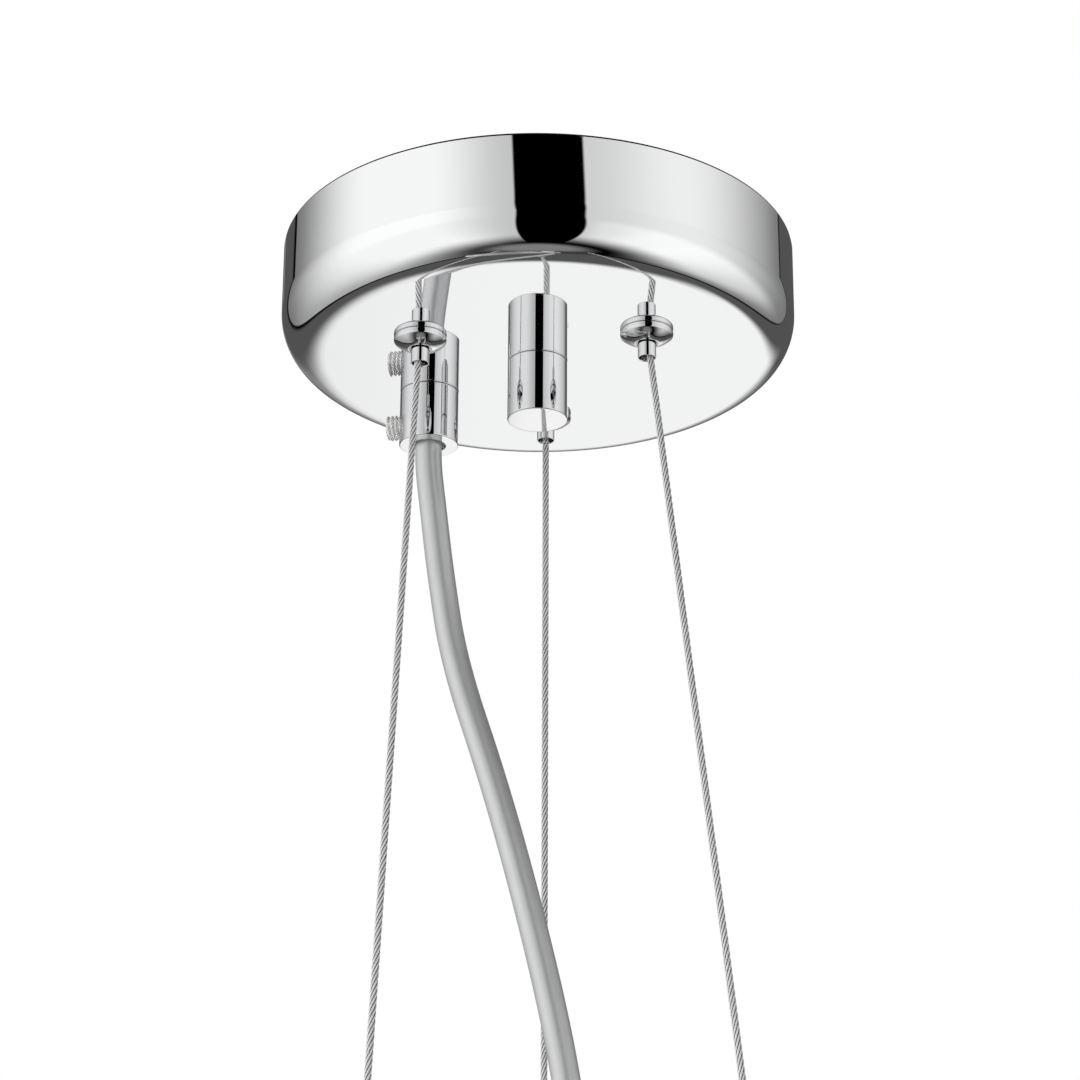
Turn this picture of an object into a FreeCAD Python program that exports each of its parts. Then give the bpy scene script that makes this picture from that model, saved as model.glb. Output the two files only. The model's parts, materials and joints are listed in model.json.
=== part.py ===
"""Chrome ceiling canopy with three gripped suspension wires and a clamped power cord.

Sizes are millimetres. The ceiling is the plane z = 0 and everything hangs below it. Seen from the
front, along +Y, one wire is behind the centre and two are in front of it, left and right. The power
cord comes down behind the centre on the left, crosses to the right and ends in a tied coil.
"""
import FreeCAD
import Part
import math
import os

from FreeCAD import Vector

# Canopy: a drawn cup, open towards the ceiling
CANOPY_DIAMETER = 120.0
CANOPY_HEIGHT = 27.4
CANOPY_SHEET = 1.2
CANOPY_CORNER = 10.2
RIM_ROUND = 0.3
HOLE_CLEARANCE = 0.2

# Ceiling bracket: a flat strap with two slots and a drawn collar
BRACKET_WIDTH = 24.0
BRACKET_SHEET = 2.0
SLOT_SPACING = 80.0
SLOT_LENGTH = 22.0
SLOT_WIDTH = 5.0
SLOT_END_LAND = 2.0
COLLAR_DIAMETER = 13.0
COLLAR_DEPTH = 3.0

# Stud and retaining nut
STUD_DIAMETER = 8.0
STUD_REACH = 13.0
STUD_SINK = 0.2
STUD_NUT_FLATS = 13.0
STUD_NUT_HEIGHT = 4.0
NUT_DIAMETER = 14.0
NUT_HEIGHT = 15.0
NUT_BORE_DEPTH = 13.4
EDGE_CHAMFER = 0.4
SET_SCREW_DIAMETER = 4.0
SET_SCREW_DROP = 11.5
SET_SCREW_ANGLE = 40.0
SET_SCREW_PROUD = 0.6
SET_SCREW_GAP = 0.3
SCREW_SLOT_WIDTH = 0.8
SCREW_SLOT_DEPTH = 1.0

# Fits
THREAD_CLEARANCE = 0.08
RUNNING_CLEARANCE = 0.1
SEAT_GAP = 0.05

# Bends take up this share of the shorter run beside them
BEND_SHARE = 0.45

# Wire grippers: levels are heights above the canopy's underside, drops are depths below it
WIRE_ANGLES = {"far": 90.0, "left": 210.0, "right": 330.0}
WIRE_CIRCLE_RADIUS = 30.0
WIRE_DIAMETER = 1.6
BARREL_DIAMETER = 8.0
BARREL_LEVEL = 15.0
GRIPPER_NUT_FLATS = 13.0
GRIPPER_NUT_HEIGHT = 4.0
FLANGE_DIAMETER = 12.2
FLANGE_RIM = 1.2
DOME_DROP = 1.9
DOME_BULGE = 0.15
DOME_END_DIAMETER = 5.6
RELIEF_DIAMETER = 5.2
RELIEF_DEPTH = 0.8
PLUNGER_DIAMETER = 4.2
PLUNGER_DROP = 6.7
PLUNGER_LEVEL = 9.0
PLUNGER_TRAVEL = 2.0
WIRE_ROOM = 0.4
MOUTH_BORE = 3.5
FLARE_LEVEL = 5.0
SHOULDER_HEIGHT = 0.8
SEAT_LEVEL = 3.0
CONE_SLOPE = 1 / 15
CAP_LEDGE = 0.4
CAP_HEIGHT = 1.6
BALL_DIAMETER = 2.0
BALL_LEVEL = 6.5
BALL_GAP = 0.01
BALL_POCKET_ROOM = 0.05
SPRING_WIRE = 0.6
SPRING_MEAN_DIAMETER = 3.8
SPRING_TURNS = 3.5

# Suspension wires: the free stretches hang from inside the nipples to a circle below the view
PIVOT_DEPTH = 1.0
PIVOT_OFFSET = 0.7
PIVOT_GAP = 0.3
WIRE_TAIL_LEVEL = 21.0
STOP_DIAMETER = 3.0
STOP_LENGTH = 5.0
HANG_RADIUS = 45.5
HANG_TURN = 6.0
HANG_OFFSET = 4.0
HANG_DROP = 212.0
END_BARREL_DIAMETER = 5.0
END_BARREL_LENGTH = 13.0
END_SOCKET = 8.0
END_SHOULDER = 1.0
END_STUD_DIAMETER = 4.0
END_STUD_LENGTH = 8.0

# Cord grip
GRIP_ANGLE = 150.0
GRIP_CIRCLE_RADIUS = 31.0
GRIP_DIAMETER = 14.0
GRIP_HEIGHT = 13.8
GRIP_BORE = 8.0
GRIP_ROOF = 2.5
STEM_DIAMETER = 10.0
STEM_LEVEL = 10.0
STEM_BORE = 7.0
STEM_NUT_FLATS = 16.0
STEM_NUT_HEIGHT = 4.0
LINER_WALL = 0.6
LINER_RECESS = 1.4
CLAMP_SCREW_DIAMETER = 6.0
CLAMP_SCREW_DROP = 8.5
CLAMP_SCREW_ANGLE = 172.0
CLAMP_SCREW_PROUD = 3.0
CLAMP_SLOT_WIDTH = 1.2
CLAMP_SLOT_DEPTH = 1.6

# Power cord, its coil, tie and connector
CORD_DIAMETER = 6.3
JACKET_LEVEL = 10.8
CORD_ROUTE = [
    (-26.8, 15.5, -47.0),
    (-25.4, 15.1, -58.0),
    (-23.4, 14.2, -74.0),
    (-19.7, 12.8, -97.0),
    (-9.8, 11.1, -127.0),
    (-0.9, 9.6, -160.0),
    (5.9, 8.3, -190.0),
    (9.2, 8.0, -214.0),
    (10.5, 8.0, -231.0),
]
COIL_ENTRY_RIGHT = 10.5
COIL_ENTRY_BACK = 8.0
COIL_ENTRY_DROP = 250.0
COIL_OUTER_RADIUS = 38.5
COIL_TURNS = 4
COIL_STEP = 6.8
COIL_TAIL = 32.0
TIE_WIDTH = 4.0
TIE_BAND = 1.1
TIE_GAP = 0.3
TIE_HEAD = (5.0, 6.5, 4.5)
CONNECTOR_WIDTH = 14.0
CONNECTOR_DEPTH = 9.0
CONNECTOR_LENGTH = 24.0
CONNECTOR_NECK_LENGTH = 5.0
CONNECTOR_NECK_WALL = 1.4
CONNECTOR_ROUND = 1.5
CONTACT_HOLE = 2.2
CONTACT_DEPTH = 9.0
CONTACT_PITCH = 4.0

# Wiring inside the canopy
LEAD_DIAMETER = 2.2
LEAD_SPREAD = 1.35
LEAD_ANGLES = {"live": 177.0, "neutral": 297.0, "earth": 57.0}
LEAD_ROUTES = {
    "live": [(-28.5, 15.3, -10.2), (-26.7, 11.3, -5.9), (-20.5, 2.7, -5.4), (-15.4, -7.2, -8.0),
             (-9.8, -14.2, -13.0), (-7.0, -17.6, -17.0)],
    "neutral": [(-26.2, 14.3, -10.2), (-23.5, 10.9, -5.9), (-17.8, 3.5, -5.2), (-12.6, -6.8, -7.0),
                (-4.4, -13.8, -11.3), (3.6, -17.4, -16.4)],
    "earth": [(-25.9, 16.7, -10.2), (-22.7, 13.8, -5.9), (-16.4, 5.9, -4.8), (-10.0, -5.5, -5.2),
              (-1.0, -13.0, -6.9), (9.5, -15.5, -11.0)],
}
EARTH_STRAIGHT = 4.0
BLOCK_FORWARD = 33.0
BLOCK_POLE_PITCH = 13.0
BLOCK_POLE_WIDTH = 7.6
BLOCK_DEPTH = 17.0
BLOCK_BASE_HEIGHT = 4.0
BLOCK_HEIGHT = 13.0
BLOCK_CORNER = 1.5
CONTACT_DIAMETER = 4.6
CONTACT_BORE = 3.0
CONTACT_LENGTH = 15.0
CONTACT_LEVEL = 5.5
TERMINAL_SCREW_DIAMETER = 2.6
TERMINAL_SCREW_PITCH = 8.0
TERMINAL_SCREW_SINK = 1.0
BLOCK_STUD_DIAMETER = 3.0
BLOCK_STUD_LENGTH = 8.0
BLOCK_NUT_FLATS = 5.5
BLOCK_NUT_HEIGHT = 2.4
EARTH_STUD_RIGHT = 17.0
EARTH_STUD_FORWARD = 38.0
EARTH_STUD_DIAMETER = 4.0
EARTH_STUD_LENGTH = 9.0
EARTH_NUT_FLATS = 7.0
EARTH_NUT_HEIGHT = 2.8
RING_DIAMETER = 8.0
RING_SHEET = 0.8
RING_BARREL_LENGTH = 6.0
RING_BARREL_WALL = 0.6
RING_TONGUE = 2.0

# Levels that follow from the sizes above
UP = Vector(0, 0, 1)
FACE_Z = -CANOPY_HEIGHT
FLOOR_Z = FACE_Z + CANOPY_SHEET
GRIP_END_Z = FACE_Z - GRIP_HEIGHT
JACKET_Z = FACE_Z + JACKET_LEVEL

# Places that follow from the sizes above
COIL_ENTRY = Vector(COIL_ENTRY_RIGHT, COIL_ENTRY_BACK, -COIL_ENTRY_DROP)
COIL_START = COIL_ENTRY + Vector(0, 0, CORD_DIAMETER)
BLOCK_CENTRE = Vector(0, -BLOCK_FORWARD, 0)
EARTH_STUD_PLACE = Vector(EARTH_STUD_RIGHT, -EARTH_STUD_FORWARD, 0)

# The balls lie between the wire and a cone that narrows downwards
BALL_OFFSET = (WIRE_DIAMETER + BALL_DIAMETER) / 2 + BALL_GAP
BALL_CONE_RADIUS = BALL_OFFSET + (BALL_DIAMETER / 2 + BALL_GAP) * math.hypot(1, CONE_SLOPE)
SEAT_BORE_RADIUS = BALL_CONE_RADIUS - CONE_SLOPE * (BALL_LEVEL - SEAT_LEVEL)
CHAMBER_RADIUS = BALL_CONE_RADIUS + CONE_SLOPE * (PLUNGER_LEVEL - BALL_LEVEL)
CAP_RADIUS = CHAMBER_RADIUS + CAP_LEDGE
SLEEVE_BORE = WIRE_DIAMETER + 2 * WIRE_ROOM


def polar(radius, angle, z=0.0):
    """A point at a radius and an angle in degrees from +X."""
    turn = math.radians(angle)
    return Vector(radius * math.cos(turn), radius * math.sin(turn), z)


def rod(diameter, low, high, centre=Vector(0, 0, 0)):
    """An upright cylinder between two heights."""
    return Part.makeCylinder(diameter / 2, high - low, Vector(centre.x, centre.y, low))


def bar(diameter, start, direction, length):
    """A cylinder along any direction."""
    return Part.makeCylinder(diameter / 2, length, start, direction)


def lathe(outline):
    """A solid turned about the Z axis from (radius, height) corners."""
    corners = [Vector(radius, 0, z) for radius, z in outline]
    face = Part.Face(Part.makePolygon(corners + corners[:1]))
    return face.revolve(Vector(0, 0, 0), UP, 360)


def hex_nut(flats, bore, low, height, centre=Vector(0, 0, 0)):
    """A hexagon nut with chamfered corners and a plain bore."""
    reach = flats / math.sqrt(3)
    corners = [polar(reach, 60 * side, low) for side in range(7)]
    prism = Part.Face(Part.makePolygon(corners)).extrude(UP * height)
    crown = lathe([
        (0, low),
        (flats / 2, low),
        (reach, low + (reach - flats / 2) / 2),
        (reach, low + height - (reach - flats / 2) / 2),
        (flats / 2, low + height),
        (0, low + height),
    ])
    nut = prism.common(crown).cut(rod(bore, low - 1, low + height + 1))
    nut.translate(Vector(centre.x, centre.y, 0))
    return nut


def rounded_slab(size_x, size_y, low, high, corner, centre=Vector(0, 0, 0)):
    """A block with rounded upright edges."""
    box = Part.makeBox(size_x, size_y, high - low, Vector(centre.x - size_x / 2, centre.y - size_y / 2, low))
    upright = [edge for edge in box.Edges if abs(edge.tangentAt(edge.FirstParameter).z) > 0.9]
    return box.makeFillet(corner, upright)


def stadium(length, width, low, high, centre=Vector(0, 0, 0)):
    """A slab along X with half-round ends."""
    straight = length - width
    corner = Vector(centre.x - straight / 2, centre.y - width / 2, low)
    slab = Part.makeBox(straight, width, high - low, corner)
    ends = [rod(width, low, high, centre + Vector(side * straight / 2, 0, 0)) for side in (-1, 1)]
    return slab.fuse(ends).removeSplitter()


def slotted_screw(diameter, start, direction, length, slot_width, slot_depth):
    """A headless screw with a slot across its outer end."""
    screw = bar(diameter, start, direction, length)
    side = direction.cross(UP).normalize()
    corner = start + direction * (length - slot_depth) - side * diameter - UP * (slot_width / 2)
    slot = Part.Face(Part.makePolygon([
        corner,
        corner + side * (2 * diameter),
        corner + side * (2 * diameter) + UP * slot_width,
        corner + UP * slot_width,
        corner,
    ])).extrude(direction * (2 * slot_depth))
    return screw.cut(slot)


def rounded_route(points, label):
    """A wire of straight runs joined by arcs that are as large as their runs allow."""
    edges = []
    radii = []
    start = points[0]
    for before, corner, after in zip(points, points[1:], points[2:]):
        back = (before - corner).normalize()
        ahead = (after - corner).normalize()
        turn = math.pi - back.getAngle(ahead)
        reach = BEND_SHARE * min((before - corner).Length, (after - corner).Length)
        radius = reach / math.tan(turn / 2)
        bisector = (back + ahead).normalize()
        first = corner + back * reach
        last = corner + ahead * reach
        middle = corner + bisector * (radius * (1 / math.cos(turn / 2) - 1))
        edges.append(Part.LineSegment(start, first).toShape())
        edges.append(Part.Arc(first, middle, last).toShape())
        radii.append(radius)
        start = last
    edges.append(Part.LineSegment(start, points[-1]).toShape())
    print(label, "bend radii", [round(radius, 1) for radius in radii])
    return Part.Wire(edges)


def tube_along(wire, diameter, label):
    """A round solid along a wire, with its volume set beside section times length."""
    first = wire.OrderedEdges[0]
    start = first.valueAt(first.FirstParameter)
    heading = first.tangentAt(first.FirstParameter)
    profile = Part.Wire([Part.Circle(start, heading, diameter / 2).toShape()])
    solid = wire.makePipeShell([profile], True, False)
    expected = math.pi * diameter ** 2 / 4 * wire.Length
    print(label, "length", round(wire.Length, 1), "volume ratio", round(solid.Volume / expected, 4))
    return solid


def arc_between(start, corner, end):
    """The arc that leaves start towards corner and reaches end coming from corner."""
    chord = end - start
    middle = (start + end) * 0.5
    turn = (corner - start).getAngle(end - corner)
    if turn < 1e-5:
        return Part.LineSegment(start, end).toShape()
    rise = (corner - middle).normalize() * (chord.Length / 2 * math.tan(turn / 4))
    return Part.Arc(start, middle + rise, end).toShape()


def biarc(start, heading, end, end_heading):
    """Two arcs that join two points with given headings."""
    span = end - start
    both = heading + end_heading
    square = 2 * (1 - heading.dot(end_heading))
    linear = 2 * span.dot(both)
    if square < 1e-9:
        reach = span.dot(span) / linear
    else:
        reach = (-linear + math.sqrt(linear ** 2 + 4 * square * span.dot(span))) / (2 * square)
    near = start + heading * reach
    far = end - end_heading * reach
    joint = (near + far) * 0.5
    return [arc_between(start, near, joint), arc_between(joint, far, end)]


def wound_route(place, turns):
    """Points and headings a quarter turn apart along place(turn)."""
    step = 1e-4
    quarters = [quarter / 4 for quarter in range(int(round(turns * 4)) + 1)]
    stations = [place(turn) for turn in quarters]
    headings = [(place(turn + step) - place(turn - step)).normalize() for turn in quarters]
    return stations, headings


def biarc_edges(stations, headings):
    """A chain of biarcs through points with their headings."""
    edges = []
    for index in range(len(stations) - 1):
        edges += biarc(stations[index], headings[index], stations[index + 1], headings[index + 1])
    return edges


def least_self_gap(wire, diameter, spacing):
    """The least clear distance between stretches of a wound tube that are over half a turn apart."""
    points = wire.discretize(Distance=spacing)
    skip = int(10 * diameter / spacing)
    least = min(
        points[here].distanceToPoint(points[there])
        for here in range(len(points))
        for there in range(here + skip, len(points))
    )
    return least - diameter


def smooth_step(value):
    """Eases from 0 to 1, flat at both ends."""
    clipped = min(max(value, 0.0), 1.0)
    return clipped * clipped * (3 - 2 * clipped)


# Ceiling bracket, stud and nuts

def mounting_bracket():
    length = SLOT_SPACING + SLOT_LENGTH + 2 * SLOT_END_LAND
    strap = stadium(length, BRACKET_WIDTH, -BRACKET_SHEET, 0)
    collar = rod(COLLAR_DIAMETER, -BRACKET_SHEET - COLLAR_DEPTH, -BRACKET_SHEET)
    strap = strap.fuse(collar).removeSplitter()
    for side in (-1, 1):
        centre = Vector(side * SLOT_SPACING / 2, 0, 0)
        strap = strap.cut(stadium(SLOT_LENGTH, SLOT_WIDTH, -BRACKET_SHEET - 1, 1, centre))
    return strap.cut(rod(STUD_DIAMETER + 2 * THREAD_CLEARANCE, -BRACKET_SHEET - COLLAR_DEPTH - 1, 1))


def centre_stud():
    stud = rod(STUD_DIAMETER, FACE_Z - STUD_REACH, -STUD_SINK)
    ends = [edge for edge in stud.Edges if edge.Closed]
    return stud.makeChamfer(EDGE_CHAMFER, ends)


def stud_lock_nut():
    low = -BRACKET_SHEET - COLLAR_DEPTH - STUD_NUT_HEIGHT
    return hex_nut(STUD_NUT_FLATS, STUD_DIAMETER + 2 * THREAD_CLEARANCE, low, STUD_NUT_HEIGHT)


# Canopy

def canopy_profile():
    """The closed outline of the drawn sheet, from the axis to the rim."""
    outer = CANOPY_DIAMETER / 2
    inner = outer - CANOPY_SHEET
    bend = outer - CANOPY_CORNER
    bend_z = FACE_Z + CANOPY_CORNER
    inner_corner = CANOPY_CORNER - CANOPY_SHEET
    diagonal = math.sqrt(0.5)
    outer_mid = Vector(bend + CANOPY_CORNER * diagonal, 0, bend_z - CANOPY_CORNER * diagonal)
    inner_mid = Vector(bend + inner_corner * diagonal, 0, bend_z - inner_corner * diagonal)
    return Part.Wire([
        Part.LineSegment(Vector(0, 0, FACE_Z), Vector(bend, 0, FACE_Z)).toShape(),
        Part.Arc(Vector(bend, 0, FACE_Z), outer_mid, Vector(outer, 0, bend_z)).toShape(),
        Part.LineSegment(Vector(outer, 0, bend_z), Vector(outer, 0, 0)).toShape(),
        Part.LineSegment(Vector(outer, 0, 0), Vector(inner, 0, 0)).toShape(),
        Part.LineSegment(Vector(inner, 0, 0), Vector(inner, 0, bend_z)).toShape(),
        Part.Arc(Vector(inner, 0, bend_z), inner_mid, Vector(bend, 0, FLOOR_Z)).toShape(),
        Part.LineSegment(Vector(bend, 0, FLOOR_Z), Vector(0, 0, FLOOR_Z)).toShape(),
        Part.LineSegment(Vector(0, 0, FLOOR_Z), Vector(0, 0, FACE_Z)).toShape(),
    ])


def canopy_shell():
    shell = Part.Face(canopy_profile()).revolve(Vector(0, 0, 0), UP, 360)
    rim = [edge for edge in shell.Edges if edge.Closed and abs(edge.CenterOfMass.z) < 1e-6]
    shell = shell.makeFillet(RIM_ROUND, rim)
    holes = [rod(STUD_DIAMETER + 2 * HOLE_CLEARANCE, FACE_Z - 1, FLOOR_Z + 1)]
    for angle in WIRE_ANGLES.values():
        holes.append(rod(BARREL_DIAMETER + 2 * HOLE_CLEARANCE, FACE_Z - 1, FLOOR_Z + 1,
                         polar(WIRE_CIRCLE_RADIUS, angle)))
    holes.append(rod(STEM_DIAMETER + 2 * HOLE_CLEARANCE, FACE_Z - 1, FLOOR_Z + 1,
                     polar(GRIP_CIRCLE_RADIUS, GRIP_ANGLE)))
    return shell.cut(holes)


def retaining_nut():
    nut = rod(NUT_DIAMETER, FACE_Z - NUT_HEIGHT, FACE_Z)
    ends = [edge for edge in nut.Edges if edge.Closed and edge.CenterOfMass.z < FACE_Z - 1]
    nut = nut.makeChamfer(EDGE_CHAMFER, ends)
    nut = nut.cut(rod(STUD_DIAMETER + 2 * THREAD_CLEARANCE, FACE_Z - NUT_BORE_DEPTH, FACE_Z + 1))
    hole = bar(SET_SCREW_DIAMETER + 2 * THREAD_CLEARANCE, Vector(0, 0, FACE_Z - SET_SCREW_DROP),
               polar(1, SET_SCREW_ANGLE), NUT_DIAMETER)
    return nut.cut(hole)


def nut_set_screw():
    direction = polar(1, SET_SCREW_ANGLE)
    inner = STUD_DIAMETER / 2 + SET_SCREW_GAP
    start = direction * inner + UP * (FACE_Z - SET_SCREW_DROP)
    length = NUT_DIAMETER / 2 + SET_SCREW_PROUD - inner
    return slotted_screw(SET_SCREW_DIAMETER, start, direction, length, SCREW_SLOT_WIDTH, SCREW_SLOT_DEPTH)


# Wire grippers, modelled about their own axis with the canopy's underside at height 0

def gripper_body():
    flange = FLANGE_DIAMETER / 2
    barrel = BARREL_DIAMETER / 2
    guide = PLUNGER_DIAMETER / 2 + RUNNING_CLEARANCE
    end = -FLANGE_RIM - DOME_DROP
    cap_seat = BARREL_LEVEL - CAP_HEIGHT
    corners = [Vector(radius, 0, level) for radius, level in (
        (flange, -FLANGE_RIM),
        (flange, 0),
        (barrel, 0),
        (barrel, BARREL_LEVEL),
        (CAP_RADIUS + SEAT_GAP, BARREL_LEVEL),
        (CAP_RADIUS + SEAT_GAP, cap_seat),
        (CHAMBER_RADIUS, cap_seat),
        (CHAMBER_RADIUS, PLUNGER_LEVEL),
        (SEAT_BORE_RADIUS, SEAT_LEVEL),
        (guide, SEAT_LEVEL),
        (guide, end + RELIEF_DEPTH),
        (RELIEF_DIAMETER / 2, end + RELIEF_DEPTH),
        (RELIEF_DIAMETER / 2, end),
        (DOME_END_DIAMETER / 2, end),
    )]
    edges = [Part.LineSegment(first, last).toShape() for first, last in zip(corners, corners[1:])]
    span = corners[0] - corners[-1]
    crown = (corners[0] + corners[-1]) * 0.5 + Vector(span.z, 0, -span.x).normalize() * DOME_BULGE
    edges.append(Part.Arc(corners[-1], crown, corners[0]).toShape())
    return Part.Face(Part.Wire(edges)).revolve(Vector(0, 0, 0), UP, 360)


def gripper_plunger():
    outside = PLUNGER_DIAMETER / 2
    shoulder = SEAT_BORE_RADIUS - RUNNING_CLEARANCE
    shoulder_low = SEAT_LEVEL + SEAT_GAP
    sleeve = lathe([
        (MOUTH_BORE / 2, -PLUNGER_DROP),
        (outside, -PLUNGER_DROP),
        (outside, shoulder_low),
        (shoulder, shoulder_low),
        (shoulder, shoulder_low + SHOULDER_HEIGHT),
        (outside, shoulder_low + SHOULDER_HEIGHT),
        (outside, PLUNGER_LEVEL),
        (SLEEVE_BORE / 2, PLUNGER_LEVEL),
        (SLEEVE_BORE / 2, FLARE_LEVEL),
    ])
    for ball in range(3):
        pocket = BALL_DIAMETER + 2 * BALL_POCKET_ROOM
        sleeve = sleeve.cut(bar(pocket, UP * BALL_LEVEL, polar(1, 120 * ball), PLUNGER_DIAMETER))
    return sleeve


def gripper_balls():
    return Part.makeCompound([
        Part.makeSphere(BALL_DIAMETER / 2, polar(BALL_OFFSET, 120 * ball, BALL_LEVEL)) for ball in range(3)
    ])


def gripper_spring():
    low = PLUNGER_LEVEL + SPRING_WIRE / 2 + SEAT_GAP
    high = BARREL_LEVEL - CAP_HEIGHT - SPRING_WIRE / 2 - SEAT_GAP

    def place(turn):
        return polar(SPRING_MEAN_DIAMETER / 2, 360 * turn, low + (high - low) * turn / SPRING_TURNS)

    route = Part.Wire(biarc_edges(*wound_route(place, SPRING_TURNS)))
    print("spring gap", round(least_self_gap(route, SPRING_WIRE, 0.2), 2))
    return tube_along(route, SPRING_WIRE, "gripper spring")


def gripper_cap():
    low = BARREL_LEVEL - CAP_HEIGHT
    return rod(2 * CAP_RADIUS, low, BARREL_LEVEL).cut(rod(SLEEVE_BORE, low - 1, BARREL_LEVEL + 1))


def gripper_lock_nut():
    return hex_nut(GRIPPER_NUT_FLATS, BARREL_DIAMETER + 2 * THREAD_CLEARANCE, CANOPY_SHEET, GRIPPER_NUT_HEIGHT)


def wire_stop():
    low = WIRE_TAIL_LEVEL - STOP_LENGTH
    return rod(STOP_DIAMETER, low, WIRE_TAIL_LEVEL).cut(
        rod(WIRE_DIAMETER + 2 * SEAT_GAP, low - 1, WIRE_TAIL_LEVEL + 1))


def placed(shape, centre):
    """A copy of a gripper piece at its place under the canopy."""
    copy = shape.copy()
    copy.translate(Vector(centre.x, centre.y, FACE_Z))
    return copy


# Suspension wires

def wire_line(angle):
    """The pivot inside the nipple, the lower end and the heading of one free wire."""
    axis = polar(WIRE_CIRCLE_RADIUS, angle, FACE_Z - PLUNGER_DROP + PIVOT_DEPTH)
    low = polar(HANG_RADIUS, angle + HANG_TURN, -HANG_DROP) + Vector(HANG_OFFSET, 0, 0)
    lean = Vector(low.x - axis.x, low.y - axis.y, 0).normalize()
    pivot = axis + lean * PIVOT_OFFSET
    return pivot, low, (low - pivot).normalize()


def wire_tail(angle):
    """The held stretch: upright through the gripper, then leaning to the edge of the nipple."""
    axis = polar(WIRE_CIRCLE_RADIUS, angle)
    pivot = wire_line(angle)[0]
    top = Vector(axis.x, axis.y, FACE_Z + WIRE_TAIL_LEVEL)
    bend = Vector(axis.x, axis.y, FACE_Z + BALL_LEVEL - BALL_DIAMETER)
    low = pivot + UP * (WIRE_DIAMETER / 2 + PIVOT_GAP)
    return tube_along(rounded_route([top, bend, low], "wire tail"), WIRE_DIAMETER, "wire tail")


def suspension_wire(angle):
    pivot, low, heading = wire_line(angle)
    length = (low - pivot).Length
    return bar(WIRE_DIAMETER, pivot, heading, length).fuse(Part.makeSphere(WIRE_DIAMETER / 2, pivot))


def wire_end(angle):
    """A swaged barrel with a threaded stud, along the wire's own line."""
    low, heading = wire_line(angle)[1:]
    outline = [
        (0, 0),
        (0, END_BARREL_LENGTH - END_SOCKET + END_STUD_LENGTH),
        (END_STUD_DIAMETER / 2, END_BARREL_LENGTH - END_SOCKET + END_STUD_LENGTH),
        (END_STUD_DIAMETER / 2, END_BARREL_LENGTH - END_SOCKET),
        (END_BARREL_DIAMETER / 2, END_BARREL_LENGTH - END_SOCKET),
        (END_BARREL_DIAMETER / 2, END_SHOULDER - END_SOCKET),
        (END_BARREL_DIAMETER / 2 - END_SHOULDER, -END_SOCKET),
        (WIRE_DIAMETER / 2 + SEAT_GAP, -END_SOCKET),
        (WIRE_DIAMETER / 2 + SEAT_GAP, 0),
    ]
    fitting = lathe(outline)
    turn = FreeCAD.Rotation(UP, heading)
    fitting.Placement = FreeCAD.Placement(low, turn)
    return fitting


# Cord grip and power cord

def grip_axis(z=0.0):
    return polar(GRIP_CIRCLE_RADIUS, GRIP_ANGLE, z)


def cord_grip_body():
    roof = FACE_Z - GRIP_ROOF
    body = rod(GRIP_DIAMETER, GRIP_END_Z, FACE_Z, grip_axis())
    ends = [edge for edge in body.Edges if edge.Closed and edge.CenterOfMass.z < FACE_Z - 1]
    body = body.makeChamfer(EDGE_CHAMFER, ends)
    body = body.fuse(rod(STEM_DIAMETER, FACE_Z, FACE_Z + STEM_LEVEL, grip_axis()))
    body = body.cut(rod(GRIP_BORE, GRIP_END_Z - 1, roof, grip_axis()))
    body = body.cut(rod(STEM_BORE, roof - 1, FACE_Z + STEM_LEVEL + 1, grip_axis()))
    screw = bar(CLAMP_SCREW_DIAMETER + 2 * THREAD_CLEARANCE, grip_axis(FACE_Z - CLAMP_SCREW_DROP),
                polar(1, CLAMP_SCREW_ANGLE), GRIP_DIAMETER)
    return body.cut(screw)


def cord_grip_liner():
    outside = GRIP_BORE - 2 * SEAT_GAP
    low = GRIP_END_Z + LINER_RECESS
    high = FACE_Z - GRIP_ROOF - SEAT_GAP
    return rod(outside, low, high, grip_axis()).cut(rod(outside - 2 * LINER_WALL, low - 1, high + 1, grip_axis()))


def cord_clamp_screw():
    direction = polar(1, CLAMP_SCREW_ANGLE)
    inner = GRIP_BORE / 2 + SEAT_GAP
    start = grip_axis(FACE_Z - CLAMP_SCREW_DROP) + direction * inner
    length = GRIP_DIAMETER / 2 + CLAMP_SCREW_PROUD - inner
    return slotted_screw(CLAMP_SCREW_DIAMETER, start, direction, length, CLAMP_SLOT_WIDTH, CLAMP_SLOT_DEPTH)


def cord_grip_lock_nut():
    return hex_nut(STEM_NUT_FLATS, STEM_DIAMETER + 2 * THREAD_CLEARANCE, FLOOR_Z, STEM_NUT_HEIGHT, grip_axis())


def cord_jacket_inner():
    return rod(CORD_DIAMETER, GRIP_END_Z, JACKET_Z, grip_axis())


def power_cord():
    points = [grip_axis(GRIP_END_Z)] + [Vector(*point) for point in CORD_ROUTE] + [COIL_START]
    return tube_along(rounded_route(points, "power cord"), CORD_DIAMETER, "power cord")


def coil_place(turn):
    """The coil's centre line: in to the middle turn on one layer and out again on the next."""
    middle = COIL_TURNS / 2
    radius = COIL_OUTER_RADIUS - COIL_STEP * (middle - abs(turn - middle))
    climb = smooth_step((turn - middle + 0.25) / 0.5)
    swing = 2 * math.pi * turn
    centre = COIL_ENTRY - Vector(COIL_OUTER_RADIUS, 0, 0)
    return centre + Vector(radius * math.cos(swing), -COIL_STEP * climb, -radius * math.sin(swing))


def power_cord_coil():
    stations, headings = wound_route(coil_place, COIL_TURNS)
    headings[0] = headings[-1] = -UP
    lead_in = Part.LineSegment(COIL_START, stations[0]).toShape()
    tail = Part.LineSegment(stations[-1], coil_tail_end()).toShape()
    route = Part.Wire([lead_in] + biarc_edges(stations, headings) + [tail])
    print("coil gap to itself", round(least_self_gap(route, CORD_DIAMETER, 2.0), 2))
    return tube_along(route, CORD_DIAMETER, "power cord coil")


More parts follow.
